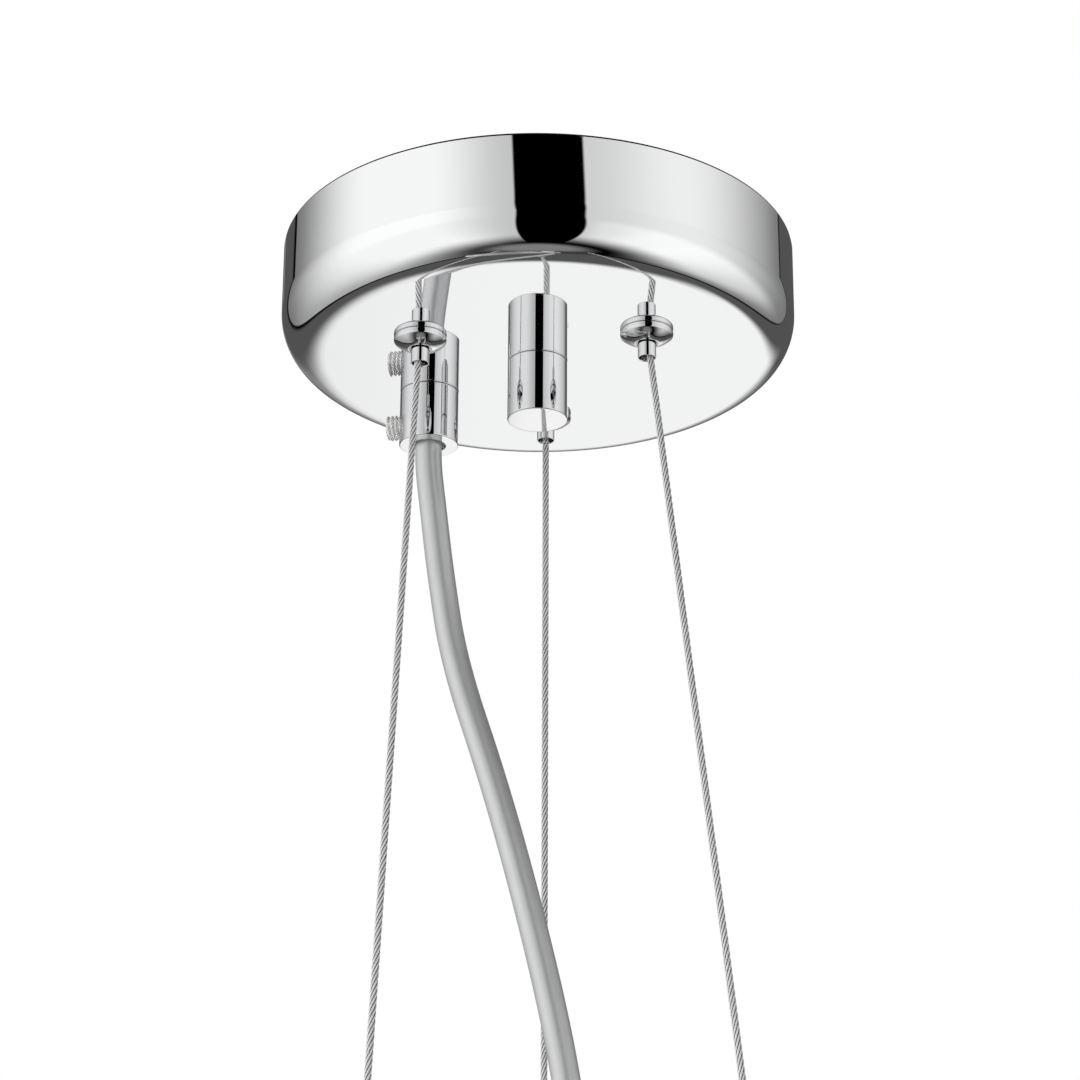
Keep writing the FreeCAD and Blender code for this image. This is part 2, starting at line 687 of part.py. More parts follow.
def coil_tail_end():
    """The cord's far end, below the coil's last turn."""
    return Vector(COIL_ENTRY.x, COIL_ENTRY.y - COIL_STEP, COIL_ENTRY.z - COIL_TAIL)


def cord_tie():
    """A strap round every turn at the coil's entry, with its locking head on the outer side."""
    clear = CORD_DIAMETER / 2 + TIE_GAP
    left = COIL_ENTRY.x - COIL_STEP * COIL_TURNS / 2 - clear
    right = COIL_ENTRY.x + clear
    front = COIL_ENTRY.y - COIL_STEP - clear
    back = COIL_ENTRY.y + clear
    centre = Vector((left + right) / 2, (front + back) / 2, 0)
    low = COIL_ENTRY.z - TIE_WIDTH / 2
    high = low + TIE_WIDTH
    inside = rounded_slab(right - left, back - front, low - 1, high + 1, clear, centre)
    strap = rounded_slab(right - left + 2 * TIE_BAND, back - front + 2 * TIE_BAND, low, high,
                         clear + TIE_BAND, centre)
    head_x, head_y, head_z = TIE_HEAD
    head = Part.makeBox(head_x, head_y, head_z,
                        Vector(right + TIE_BAND / 2, centre.y - head_y / 2, COIL_ENTRY.z - head_z / 2))
    return strap.fuse(head).cut(inside).removeSplitter()


def cord_connector():
    """A plug-in coupler with a neck round the cord and three contact holes in its lower end."""
    end = coil_tail_end()
    neck_low = end.z - CONNECTOR_NECK_LENGTH
    low = neck_low - CONNECTOR_LENGTH
    body = rounded_slab(CONNECTOR_WIDTH, CONNECTOR_DEPTH, low, neck_low, CONNECTOR_ROUND, end)
    neck = rod(CORD_DIAMETER + 2 * CONNECTOR_NECK_WALL, neck_low, end.z, end)
    body = body.fuse(neck).removeSplitter()
    for contact in (-1, 0, 1):
        centre = end + Vector(contact * CONTACT_PITCH, 0, 0)
        body = body.cut(rod(CONTACT_HOLE, low - 1, low + CONTACT_DEPTH, centre))
    return body


# Wiring inside the canopy

def block_poles():
    return [BLOCK_CENTRE + Vector(side * BLOCK_POLE_PITCH / 2, 0, 0) for side in (-1, 1)]


def terminal_block():
    width = BLOCK_POLE_PITCH + BLOCK_POLE_WIDTH
    top = FLOOR_Z + BLOCK_HEIGHT
    block = rounded_slab(width, BLOCK_DEPTH, FLOOR_Z, FLOOR_Z + BLOCK_BASE_HEIGHT, BLOCK_CORNER, BLOCK_CENTRE)
    tools = [rod(BLOCK_STUD_DIAMETER + 2 * HOLE_CLEARANCE, FLOOR_Z - 1, top + 1, BLOCK_CENTRE)]
    nut_room = rod(BLOCK_NUT_FLATS * 2 / math.sqrt(3) + 2 * HOLE_CLEARANCE, FLOOR_Z + BLOCK_BASE_HEIGHT,
                   top + 1, BLOCK_CENTRE)
    tools.append(nut_room)
    for pole in block_poles():
        block = block.fuse(rounded_slab(BLOCK_POLE_WIDTH, BLOCK_DEPTH, FLOOR_Z, top, BLOCK_CORNER, pole))
        start = pole + Vector(0, -BLOCK_DEPTH, FLOOR_Z + CONTACT_LEVEL)
        tools.append(bar(CONTACT_DIAMETER + 2 * SEAT_GAP, start, Vector(0, 1, 0), 2 * BLOCK_DEPTH))
        for side in (-1, 1):
            well = pole + Vector(0, side * TERMINAL_SCREW_PITCH / 2, 0)
            tools.append(rod(TERMINAL_SCREW_DIAMETER + 2 * HOLE_CLEARANCE, FLOOR_Z + CONTACT_LEVEL, top + 1, well))
    return block.removeSplitter().cut(tools)


def terminal_contacts():
    tubes = []
    for pole in block_poles():
        start = pole + Vector(0, -CONTACT_LENGTH / 2, FLOOR_Z + CONTACT_LEVEL)
        tube = bar(CONTACT_DIAMETER, start, Vector(0, 1, 0), CONTACT_LENGTH)
        tube = tube.cut(bar(CONTACT_BORE, start, Vector(0, 1, 0), CONTACT_LENGTH))
        for side in (-1, 1):
            well = pole + Vector(0, side * TERMINAL_SCREW_PITCH / 2, 0)
            tube = tube.cut(rod(TERMINAL_SCREW_DIAMETER + 2 * SEAT_GAP, FLOOR_Z + CONTACT_LEVEL,
                                FLOOR_Z + BLOCK_HEIGHT, well))
        tubes.append(tube)
    return Part.makeCompound(tubes)


def terminal_screws():
    low = FLOOR_Z + CONTACT_LEVEL + LEAD_DIAMETER / 2 + SEAT_GAP
    high = FLOOR_Z + BLOCK_HEIGHT - TERMINAL_SCREW_SINK
    screws = []
    for pole in block_poles():
        for side in (-1, 1):
            centre = pole + Vector(0, side * TERMINAL_SCREW_PITCH / 2, 0)
            screw = rod(TERMINAL_SCREW_DIAMETER, low, high, centre)
            slot = Part.makeBox(2 * TERMINAL_SCREW_DIAMETER, SCREW_SLOT_WIDTH, 2 * SCREW_SLOT_DEPTH,
                                Vector(centre.x - TERMINAL_SCREW_DIAMETER, centre.y - SCREW_SLOT_WIDTH / 2,
                                       high - SCREW_SLOT_DEPTH))
            screws.append(screw.cut(slot))
    return Part.makeCompound(screws)


def weld_studs():
    return Part.makeCompound([
        rod(BLOCK_STUD_DIAMETER, FLOOR_Z, FLOOR_Z + BLOCK_STUD_LENGTH, BLOCK_CENTRE),
        rod(EARTH_STUD_DIAMETER, FLOOR_Z, FLOOR_Z + EARTH_STUD_LENGTH, EARTH_STUD_PLACE),
    ])


def weld_stud_nuts():
    block_bore = BLOCK_STUD_DIAMETER + 2 * THREAD_CLEARANCE
    earth_bore = EARTH_STUD_DIAMETER + 2 * THREAD_CLEARANCE
    upper = FLOOR_Z + EARTH_NUT_HEIGHT + RING_SHEET
    return Part.makeCompound([
        hex_nut(BLOCK_NUT_FLATS, block_bore, FLOOR_Z + BLOCK_BASE_HEIGHT, BLOCK_NUT_HEIGHT, BLOCK_CENTRE),
        hex_nut(EARTH_NUT_FLATS, earth_bore, FLOOR_Z, EARTH_NUT_HEIGHT, EARTH_STUD_PLACE),
        hex_nut(EARTH_NUT_FLATS, earth_bore, upper, EARTH_NUT_HEIGHT, EARTH_STUD_PLACE),
    ])


def ring_barrel_start():
    """Where the earth lead's ring terminal takes the lead, beyond the ring's tongue."""
    rise = FLOOR_Z + EARTH_NUT_HEIGHT + RING_BARREL_WALL + LEAD_DIAMETER / 2 + SEAT_GAP
    return EARTH_STUD_PLACE + Vector(0, RING_DIAMETER / 2 + RING_TONGUE, rise)


def earth_ring():
    low = FLOOR_Z + EARTH_NUT_HEIGHT
    bore = LEAD_DIAMETER + 2 * SEAT_GAP
    start = ring_barrel_start()
    ring = rod(RING_DIAMETER, low, low + RING_SHEET, EARTH_STUD_PLACE)
    tongue = Part.makeBox(LEAD_DIAMETER, RING_DIAMETER / 2 + RING_TONGUE + RING_BARREL_LENGTH, RING_SHEET,
                          Vector(EARTH_STUD_PLACE.x - LEAD_DIAMETER / 2, EARTH_STUD_PLACE.y, low))
    barrel = bar(bore + 2 * RING_BARREL_WALL, start, Vector(0, 1, 0), RING_BARREL_LENGTH)
    ring = ring.fuse([tongue, barrel]).removeSplitter()
    ring = ring.cut(bar(bore, start, Vector(0, 1, 0), RING_BARREL_LENGTH + 1))
    return ring.cut(rod(EARTH_STUD_DIAMETER + 2 * THREAD_CLEARANCE, low - 1, low + RING_SHEET + 1, EARTH_STUD_PLACE))


def lead(name):
    """One conductor from the end of the jacket to its terminal."""
    start = grip_axis(JACKET_Z) + polar(LEAD_SPREAD, LEAD_ANGLES[name])
    if name == "earth":
        last = ring_barrel_start() + Vector(0, SEAT_GAP, 0)
        ends = [last + Vector(0, RING_BARREL_LENGTH + EARTH_STRAIGHT, 0), last]
    else:
        pole = block_poles()[0 if name == "live" else 1]
        last = pole + Vector(0, TERMINAL_SCREW_PITCH / 2 - TERMINAL_SCREW_DIAMETER, FLOOR_Z + CONTACT_LEVEL)
        ends = [pole + Vector(0, BLOCK_DEPTH / 2 + LEAD_DIAMETER, FLOOR_Z + CONTACT_LEVEL), last]
    points = [start] + [Vector(*point) for point in LEAD_ROUTES[name]] + ends
    return tube_along(rounded_route(points, "lead " + name), LEAD_DIAMETER, "lead " + name)


def build_nodes():
    """Every piece under its own name."""
    nodes = {
        "mounting_bracket": mounting_bracket(),
        "centre_stud": centre_stud(),
        "stud_lock_nut": stud_lock_nut(),
        "canopy_shell": canopy_shell(),
        "retaining_nut": retaining_nut(),
        "nut_set_screw": nut_set_screw(),
    }
    pieces = {
        "gripper_body": gripper_body(),
        "gripper_plunger": gripper_plunger(),
        "gripper_balls": gripper_balls(),
        "gripper_spring": gripper_spring(),
        "gripper_cap": gripper_cap(),
    }
    lock_nuts = []
    stops = []
    for side, angle in WIRE_ANGLES.items():
        centre = polar(WIRE_CIRCLE_RADIUS, angle)
        for name, shape in pieces.items():
            nodes[name + "_" + side] = placed(shape, centre)
        lock_nuts.append(placed(gripper_lock_nut(), centre))
        stops.append(placed(wire_stop(), centre))
        nodes["wire_tail_" + side] = wire_tail(angle)
        nodes["suspension_wire_" + side] = suspension_wire(angle)
        nodes["wire_end_" + side] = wire_end(angle)
    nodes["gripper_lock_nuts"] = Part.makeCompound(lock_nuts)
    nodes["wire_stops"] = Part.makeCompound(stops)
    nodes["cord_grip_body"] = cord_grip_body()
    nodes["cord_grip_liner"] = cord_grip_liner()
    nodes["cord_clamp_screw"] = cord_clamp_screw()
    nodes["cord_grip_lock_nut"] = cord_grip_lock_nut()
    nodes["cord_jacket_inner"] = cord_jacket_inner()
    nodes["power_cord"] = power_cord()
    nodes["power_cord_coil"] = power_cord_coil()
    nodes["cord_tie"] = cord_tie()
    nodes["cord_connector"] = cord_connector()
    nodes["terminal_block"] = terminal_block()
    nodes["terminal_contacts"] = terminal_contacts()
    nodes["terminal_screws"] = terminal_screws()
    nodes["weld_studs"] = weld_studs()
    nodes["weld_stud_nuts"] = weld_stud_nuts()
    nodes["earth_ring"] = earth_ring()
    for name in LEAD_ANGLES:
        nodes["lead_" + name] = lead(name)
    return nodes


os.makedirs("parts", exist_ok=True)
for node_name, node_shape in build_nodes().items():
    if not node_shape.isValid():
        print("not valid:", node_name)
    node_shape.exportStep("parts/" + node_name + ".step")
    print(node_name, "solids", len(node_shape.Solids), "volume", round(node_shape.Volume, 1))
for side_name, side_angle in WIRE_ANGLES.items():
    wire_pivot, wire_low, wire_heading = wire_line(side_angle)
    print("wire", side_name, "pivot", wire_pivot, "low end", wire_low, "heading", wire_heading)
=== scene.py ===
# %% [markdown]
# This lesson dresses a ceiling canopy: a mirror-bright round cup that holds three stranded wires and one
# grey power cord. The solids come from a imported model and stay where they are. Pieces whose finish needs
# smoother or finer shapes, such as the mirror cup or the twisted wires, are built again on top of them.

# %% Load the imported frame
import json
import math
import bmesh
import bpy
from mathutils import Matrix, Vector


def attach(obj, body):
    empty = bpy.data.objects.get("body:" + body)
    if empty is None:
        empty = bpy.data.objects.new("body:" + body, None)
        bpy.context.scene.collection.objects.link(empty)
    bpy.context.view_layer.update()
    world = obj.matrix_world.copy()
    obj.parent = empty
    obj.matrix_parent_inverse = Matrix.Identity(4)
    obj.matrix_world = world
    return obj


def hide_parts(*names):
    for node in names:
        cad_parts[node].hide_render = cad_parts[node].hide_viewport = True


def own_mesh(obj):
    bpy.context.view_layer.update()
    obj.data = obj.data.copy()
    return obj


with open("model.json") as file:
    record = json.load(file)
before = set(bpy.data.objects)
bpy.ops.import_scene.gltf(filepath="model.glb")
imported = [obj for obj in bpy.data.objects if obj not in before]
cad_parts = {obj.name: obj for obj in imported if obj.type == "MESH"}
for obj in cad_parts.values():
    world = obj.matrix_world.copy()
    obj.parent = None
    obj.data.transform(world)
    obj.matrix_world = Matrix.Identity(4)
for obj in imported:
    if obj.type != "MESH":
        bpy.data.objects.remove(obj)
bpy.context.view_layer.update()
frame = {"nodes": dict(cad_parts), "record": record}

scene = bpy.context.scene

# %% [markdown]
# The picture looks up at the canopy from below, with a long lens. The camera's place was worked out from the
# ellipses of the cup and the heights of the fittings, so it only has to be set here.

# %% Camera
MM = 0.001
CAMERA_PLACE = Vector((44.97, -655.18, -338.67)) * MM
CAMERA_AHEAD = Vector((-0.0624, 0.9245, 0.3761))
CAMERA_ROLL = math.radians(0.289)
LENS_MM = 103.58
SENSOR_MM = 36.0
NEAREST_SEEN = 0.01


def placed(name, data):
    """A new object in the scene."""
    made = bpy.data.objects.new(name, data)
    scene.collection.objects.link(made)
    return made


camera = placed("camera", bpy.data.cameras.new("camera"))
camera.matrix_world = (
    Matrix.Translation(CAMERA_PLACE)
    @ CAMERA_AHEAD.to_track_quat("-Z", "Y").to_matrix().to_4x4()
    @ Matrix.Rotation(CAMERA_ROLL, 4, "Z")
)
camera.data.lens = LENS_MM
camera.data.sensor_width = SENSOR_MM
camera.data.clip_start = NEAREST_SEEN
scene.camera = camera
print("camera", [round(c, 3) for c in camera.location])

# %% [markdown]
# Chrome shows nothing of its own, only the studio around it. A product photographer hangs large white panels
# left and right, leaves a dark gap where the camera stands and puts a white card behind the object for its
# underside. Each panel is a patch of the sky with soft edges, described by compass direction and height, so
# one small node group makes them all. The camera itself sees plain white.

# %% Studio panels
PANEL_INPUTS = ("Azimuth", "Elevation", "Start", "Width", "Start Softness", "End Softness",
                "Low", "High", "Low Softness", "High Softness", "Brightness", "Low Taper", "High Taper")
LOW_TAPER_LEVEL = -5.0
HIGH_TAPER_LEVEL = 6.0
FULL_TURN = 360.0


def math_node(tree, operation, *values):
    """A Math node whose inputs are sockets or plain numbers."""
    node = tree.nodes.new("ShaderNodeMath")
    node.operation = operation
    for socket, value in zip(node.inputs, values):
        if isinstance(value, bpy.types.NodeSocket):
            tree.links.new(value, socket)
        else:
            socket.default_value = value
    return node.outputs[0]


def ease(tree, value, start, end):
    """A smooth step from 0 at start to 1 at end."""
    node = tree.nodes.new("ShaderNodeMapRange")
    node.interpolation_type = "SMOOTHSTEP"
    for name, source in (("Value", value), ("From Min", start), ("From Max", end)):
        tree.links.new(source, node.inputs[name])
    return node.outputs["Result"]


def soft_panel_group():
    """One patch of light: four soft edges, multiplied."""
    group = bpy.data.node_groups.new("soft_panel", "ShaderNodeTree")
    for name in PANEL_INPUTS:
        group.interface.new_socket(name, in_out="INPUT", socket_type="NodeSocketFloat")
    group.interface.new_socket("Light", in_out="OUTPUT", socket_type="NodeSocketFloat")
    given = group.nodes.new("NodeGroupInput").outputs
    level = given["Elevation"]
    past_start = math_node(group, "SUBTRACT", given["Azimuth"], given["Start"])
    turn = math_node(group, "WRAP", past_start, FULL_TURN, 0.0)
    below = math_node(group, "MAXIMUM", math_node(group, "SUBTRACT", LOW_TAPER_LEVEL, level), 0.0)
    above = math_node(group, "MAXIMUM", math_node(group, "SUBTRACT", level, HIGH_TAPER_LEVEL), 0.0)
    first = math_node(group, "ADD", math_node(group, "MULTIPLY", below, given["Low Taper"]),
                      math_node(group, "MULTIPLY", above, given["High Taper"]))
    last = math_node(group, "SUBTRACT", given["Width"], first)
    rise = math_node(group, "ADD", first, given["Start Softness"])
    fall = math_node(group, "SUBTRACT", last, given["End Softness"])
    bottom = math_node(group, "ADD", given["Low"], given["Low Softness"])
    top = math_node(group, "SUBTRACT", given["High"], given["High Softness"])
    light = given["Brightness"]
    for edge in (
        ease(group, turn, first, rise),
        ease(group, turn, last, fall),
        ease(group, level, given["Low"], bottom),
        ease(group, level, given["High"], top),
    ):
        light = math_node(group, "MULTIPLY", light, edge)
    group.links.new(light, group.nodes.new("NodeGroupOutput").inputs["Light"])
    return group


soft_panel = soft_panel_group()
print("panel inputs", len(PANEL_INPUTS))

# %% [markdown]
# Azimuth 0 is behind the object and 180 is behind the camera. Every panel says where it starts, how wide it
# is, how soft its two sides are, its lower and upper edge with their softness, and how bright it is. Two more
# numbers, where there are any, narrow the panel towards its lower and upper edge. The panels' tops lean over
# a little. Rays that pass through clear nylon see the white paper as the camera does.

# %% World
PANELS = {
    "left_base": (-175.25, 133.05, 1.3, 1.5, -77.0, 33.0, 26.0, 1.5, 0.20, 0.038, 0.058),
    "left_sheet": (-175.25, 133.05, 1.3, 60.0, -77.0, 33.0, 26.0, 1.5, 0.38, 0.038, 0.058),
    "left_glow": (-175.25, 133.05, 40.0, 60.0, -82.0, 33.0, 30.0, 1.5, 0.40, 0.038, 0.058),
    "left_band": (-172.0, 90.0, 30.0, 30.0, -12.0, 26.0, 10.0, 6.0, 0.07),
    "left_low": (-100.0, 57.8, 40.0, 1.5, -82.0, 5.0, 30.0, 40.0, 0.21, 0.038),
    "right_base": (37.0, 120.25, 1.5, 1.5, -75.0, 33.0, 26.0, 1.5, 0.20, 0.075, 0.045),
    "right_sheet": (37.0, 120.25, 72.0, 1.5, -75.0, 33.0, 26.0, 1.5, 0.46, 0.075, 0.045),
    "right_glow": (37.0, 120.25, 72.0, 45.0, -75.0, 33.0, 26.0, 1.5, 0.21, 0.075, 0.045),
    "right_high": (37.0, 120.25, 20.0, 100.0, 20.0, 33.0, 8.0, 1.5, 0.075),
    "right_low": (37.0, 120.25, 22.0, 98.0, -75.0, -2.0, 26.0, 18.0, 0.33, 0.075),
    "right_mid": (108.0, 49.25, 18.0, 10.0, -75.0, -5.0, 26.0, 15.0, 0.10, 0.075),
    "far_wall": (-42.2, 80.2, 3.0, 1.5, -80.0, 33.0, 10.0, 2.0, 0.085),
    "far_mist": (-28.0, 46.0, 8.0, 8.0, -8.0, 14.0, 8.0, 10.0, 0.13),
    "far_lamp": (-23.0, 7.0, 2.5, 2.5, 5.0, 33.0, 5.0, 2.0, 0.15),
    "far_card": (-30.0, 57.0, 26.0, 11.0, -51.0, 4.0, 15.0, 20.0, 0.86),
    "floor": (-180.0, 360.0, 0.001, 0.001, -91.0, -75.0, 0.001, 9.0, 0.21),
    "ceiling": (-180.0, 360.0, 0.001, 0.001, 48.0, 92.0, 12.0, 0.001, 0.01),
}
LEAN = 0.8
LEAN_LEVEL = 28.3
PAPER_WHITE = (1.0, 1.0, 1.0, 1.0)


def studio_world():
    """The sum of all panels, with plain paper for what looks straight at it."""
    world = bpy.data.worlds.new("studio")
    world.use_nodes = True
    tree = world.node_tree
    tree.nodes.clear()
    place = tree.nodes.new("ShaderNodeSeparateXYZ")
    tree.links.new(tree.nodes.new("ShaderNodeTexCoord").outputs["Generated"], place.inputs[0])
    azimuth = math_node(tree, "DEGREES", math_node(tree, "ARCTAN2", place.outputs["X"], place.outputs["Y"]))
    elevation = math_node(tree, "DEGREES", math_node(tree, "ARCSINE", place.outputs["Z"]))
    height = math_node(tree, "MAXIMUM", math_node(tree, "SUBTRACT", elevation, LEAN_LEVEL), 0.0)
    azimuth = math_node(tree, "SUBTRACT", azimuth, math_node(tree, "MULTIPLY", height, LEAN))
    light = 0.0
    for name, sizes in PANELS.items():
        panel = tree.nodes.new("ShaderNodeGroup")
        panel.node_tree = soft_panel
        panel.label = name
        tree.links.new(azimuth, panel.inputs["Azimuth"])
        tree.links.new(elevation, panel.inputs["Elevation"])
        for socket, size in zip(PANEL_INPUTS[2:], sizes):
            panel.inputs[socket].default_value = size
        light = math_node(tree, "ADD", panel.outputs["Light"], light)
    studio = tree.nodes.new("ShaderNodeBackground")
    tree.links.new(light, studio.inputs["Color"])
    paper = tree.nodes.new("ShaderNodeBackground")
    paper.inputs["Color"].default_value = PAPER_WHITE
    seen = tree.nodes.new("ShaderNodeMixShader")
    path = tree.nodes.new("ShaderNodeLightPath").outputs
    straight = math_node(tree, "MAXIMUM", path["Is Camera Ray"], path["Is Transmission Ray"])
    tree.links.new(straight, seen.inputs[0])
    tree.links.new(studio.outputs[0], seen.inputs[1])
    tree.links.new(paper.outputs[0], seen.inputs[2])
    tree.links.new(seen.outputs[0], tree.nodes.new("ShaderNodeOutputWorld").inputs["Surface"])
    return world


scene.world = studio_world()
scene.view_settings.view_transform = "Standard"
print("panels", list(PANELS))

# %% [markdown]
# Satin plastic and paper need light as well as reflections. A soft lamp on the left gives the cord its pale
# side, and one overhead lights the floor and the inside of the cup. Both are kept out of the reflections, so
# that the chrome doesn't show them. Each lamp has an azimuth, an elevation and a strength.

# %% Lamps
LAMPS = {
    "side_lamp": (-120.0, 5.0, 2.1),
    "top_lamp": (-150.0, 76.0, 2.4),
}
LAMP_SPREAD = math.radians(40.0)

for lamp_name, (lamp_azimuth, lamp_elevation, lamp_strength) in LAMPS.items():
    lamp = placed(lamp_name, bpy.data.lights.new(lamp_name, "SUN"))
    lamp.data.energy = lamp_strength
    lamp.data.angle = LAMP_SPREAD
    lamp.rotation_euler = (math.radians(90.0 - lamp_elevation), 0.0, math.radians(180.0 - lamp_azimuth))
    lamp.visible_glossy = False
print("lamps", list(LAMPS))

# %% [markdown]
# A pale floor lies far below, as it would under a hanging lamp. It takes no part in the reflections, so that
# the panels reach the chrome from underneath too.

# %% Floor
FLOOR_DROP = -1.4
FLOOR_HALF_SIDE = 12.0
FLOOR_TONE = (0.9, 0.9, 0.89, 1.0)
FLOOR_ROUGHNESS = 0.9

floor_mesh = bpy.data.meshes.new("floor")
floor_shape = bmesh.new()
bmesh.ops.create_grid(floor_shape, x_segments=1, y_segments=1, size=FLOOR_HALF_SIDE)
bmesh.ops.translate(floor_shape, verts=floor_shape.verts, vec=(0, 0, FLOOR_DROP))
floor_shape.to_mesh(floor_mesh)
floor_shape.free()
floor = placed("floor", floor_mesh)
floor.visible_glossy = False
paper_finish = bpy.data.materials.new("paper_floor")
paper_finish.use_nodes = True
paper_sockets = paper_finish.node_tree.nodes["Principled BSDF"].inputs
paper_sockets["Base Color"].default_value = FLOOR_TONE
paper_sockets["Roughness"].default_value = FLOOR_ROUGHNESS
floor_mesh.materials.append(paper_finish)
print("floor at", FLOOR_DROP)

# %% [markdown]
# Three effects come back in many finishes: roughness that drifts over the surface as handling leaves it, a
# fine grain that only bends the light, and a colour that wanders a little between two tones. Each is a node
# group with its own numbers, fed by Object coordinates, so a pattern keeps its scale on every piece.

# %% Shared effects
NOISE_DETAIL = 3.0
NOISE_LOW = 0.3
NOISE_HIGH = 0.7
GRAIN_DEPTH = 0.0001
MIX_FIRST_COLOUR = 6
MIX_SECOND_COLOUR = 7
MIX_COLOUR_OUT = 2


def effect_group(name, inputs, output, socket_type):
    """A group with its inputs, its noise on Object coordinates and its one output."""
    group = bpy.data.node_groups.new(name, "ShaderNodeTree")
    for title in inputs:
        kind = "NodeSocketColor" if title.endswith("Tone") else "NodeSocketFloat"
        group.interface.new_socket(title, in_out="INPUT", socket_type=kind)
    group.interface.new_socket(output, in_out="OUTPUT", socket_type=socket_type)
    given = group.nodes.new("NodeGroupInput").outputs
    noise = group.nodes.new("ShaderNodeTexNoise")
    noise.inputs["Detail"].default_value = NOISE_DETAIL
    group.links.new(group.nodes.new("ShaderNodeTexCoord").outputs["Object"], noise.inputs["Vector"])
    group.links.new(given["Scale"], noise.inputs["Scale"])
    return group, given, noise.outputs["Fac"], group.nodes.new("NodeGroupOutput").inputs[output]


def handling_group():
    group, given, noise, out = effect_group("handling", ("Scale", "Least", "Most"), "Roughness",
                                            "NodeSocketFloat")
    spread = group.nodes.new("ShaderNodeMapRange")
    spread.inputs["From Min"].default_value = NOISE_LOW
    spread.inputs["From Max"].default_value = NOISE_HIGH
    group.links.new(noise, spread.inputs["Value"])
    group.links.new(given["Least"], spread.inputs["To Min"])
    group.links.new(given["Most"], spread.inputs["To Max"])
    group.links.new(spread.outputs["Result"], out)
    return group


def grain_group():
    group, given, noise, out = effect_group("grain", ("Scale", "Strength"), "Normal", "NodeSocketVector")
    bump = group.nodes.new("ShaderNodeBump")
    bump.inputs["Distance"].default_value = GRAIN_DEPTH
    group.links.new(noise, bump.inputs["Height"])
    group.links.new(given["Strength"], bump.inputs["Strength"])
    group.links.new(bump.outputs["Normal"], out)
    return group


def drift_group():
    group, given, noise, out = effect_group("drift", ("Scale", "First Tone", "Second Tone"), "Color",
                                            "NodeSocketColor")
    blend = group.nodes.new("ShaderNodeMix")
    blend.data_type = "RGBA"
    group.links.new(noise, blend.inputs["Factor"])
    group.links.new(given["First Tone"], blend.inputs[MIX_FIRST_COLOUR])
    group.links.new(given["Second Tone"], blend.inputs[MIX_SECOND_COLOUR])
    group.links.new(blend.outputs[MIX_COLOUR_OUT], out)
    return group


handling = handling_group()
grain = grain_group()
drift = drift_group()
print("groups", [group.name for group in (handling, grain, drift)])

# %% [markdown]
# A finish is one Principled shader. What is the same all over is set on its own sockets, and what changes
# over the surface comes from the groups.

# %% Finish maker
POLISH = {"rough": (0.012, 0.03), "rough_scale": 60.0, "Metallic": 1.0}
INSULATION = (0.3, 0.42)


def effect(material, group, **values):
    """The group placed in a material with its own values; its only output."""
    node = material.node_tree.nodes.new("ShaderNodeGroup")
    node.node_tree = group
    for name, value in values.items():
        node.inputs[name.replace("_", " ")].default_value = value
    return node.outputs[0]


def finish(name, tones=None, colour=None, tone_scale=400.0, rough=(0.3, 0.4), rough_scale=300.0,
           grain_scale=0.0, grain_strength=0.0, **sockets):
    """A named finish; colour is plain, and tones are two colours that drift into each other."""
    material = bpy.data.materials.new(name)
    material.use_nodes = True
    shader = material.node_tree.nodes["Principled BSDF"]
    links = material.node_tree.links
    if colour:
        shader.inputs["Base Color"].default_value = (*colour, 1.0)
    if tones:
        first, second = [(*tone, 1.0) for tone in tones]
        source = effect(material, drift, Scale=tone_scale, First_Tone=first, Second_Tone=second)
        links.new(source, shader.inputs["Base Color"])
    least, most = rough
    source = effect(material, handling, Scale=rough_scale, Least=least, Most=most)
    links.new(source, shader.inputs["Roughness"])
    if grain_strength:
        source = effect(material, grain, Scale=grain_scale, Strength=grain_strength)
        links.new(source, shader.inputs["Normal"])
    for socket, value in sockets.items():
        shader.inputs[socket.replace("_", " ")].default_value = value
    return material


FINISHES = {
    "chrome": finish("chrome_plate", colour=(0.93, 0.935, 0.94), **POLISH),
    "fitting": finish("fitting_chrome", **POLISH),
    "zinc": finish("zinc_plate", tones=((0.60, 0.61, 0.60), (0.72, 0.70, 0.64)), rough=(0.25, 0.42),
                   grain_scale=2500.0, grain_strength=0.15, Metallic=0.45),
    "wire": finish("wire_strand", tones=((0.84, 0.85, 0.86), (0.92, 0.92, 0.92)), tone_scale=300.0,
                   rough=(0.34, 0.42), rough_scale=300.0, Metallic=1.0),
    "rope": finish("wire_rope", rough=(0.3, 0.38), rough_scale=300.0, Metallic=0.3),
    "steel": finish("bright_steel", tones=((0.66, 0.67, 0.68), (0.76, 0.76, 0.76)), rough=(0.14, 0.26),
                    grain_scale=3000.0, grain_strength=0.08, Metallic=1.0),
    "brass": finish("plain_brass", tones=((0.80, 0.61, 0.30), (0.70, 0.50, 0.24)), rough=(0.18, 0.34),
                    Metallic=1.0),
    "nylon": finish("clear_nylon", colour=(0.95, 0.95, 0.94), rough=(0.28, 0.38), Transmission_Weight=0.4,
                    IOR=1.53),
    "cord": finish("cord_jacket", tones=((0.54, 0.545, 0.55), (0.58, 0.585, 0.59)), tone_scale=120.0,
                   rough=(0.28, 0.33), grain_scale=1800.0, grain_strength=0.04, Metallic=0.4),
    "connector": finish("moulded_white", tones=((0.66, 0.66, 0.64), (0.72, 0.72, 0.70)), rough=(0.35, 0.5),
                        grain_scale=2200.0, grain_strength=0.2),
    "brown": finish("brown_insulation", tones=((0.16, 0.07, 0.03), (0.20, 0.09, 0.04)), rough=INSULATION),
    "blue": finish("blue_insulation", tones=((0.02, 0.10, 0.38), (0.03, 0.13, 0.45)), rough=INSULATION),
    "earth_green": finish("earth_insulation", rough=INSULATION),
}
print("finishes", list(FINISHES))

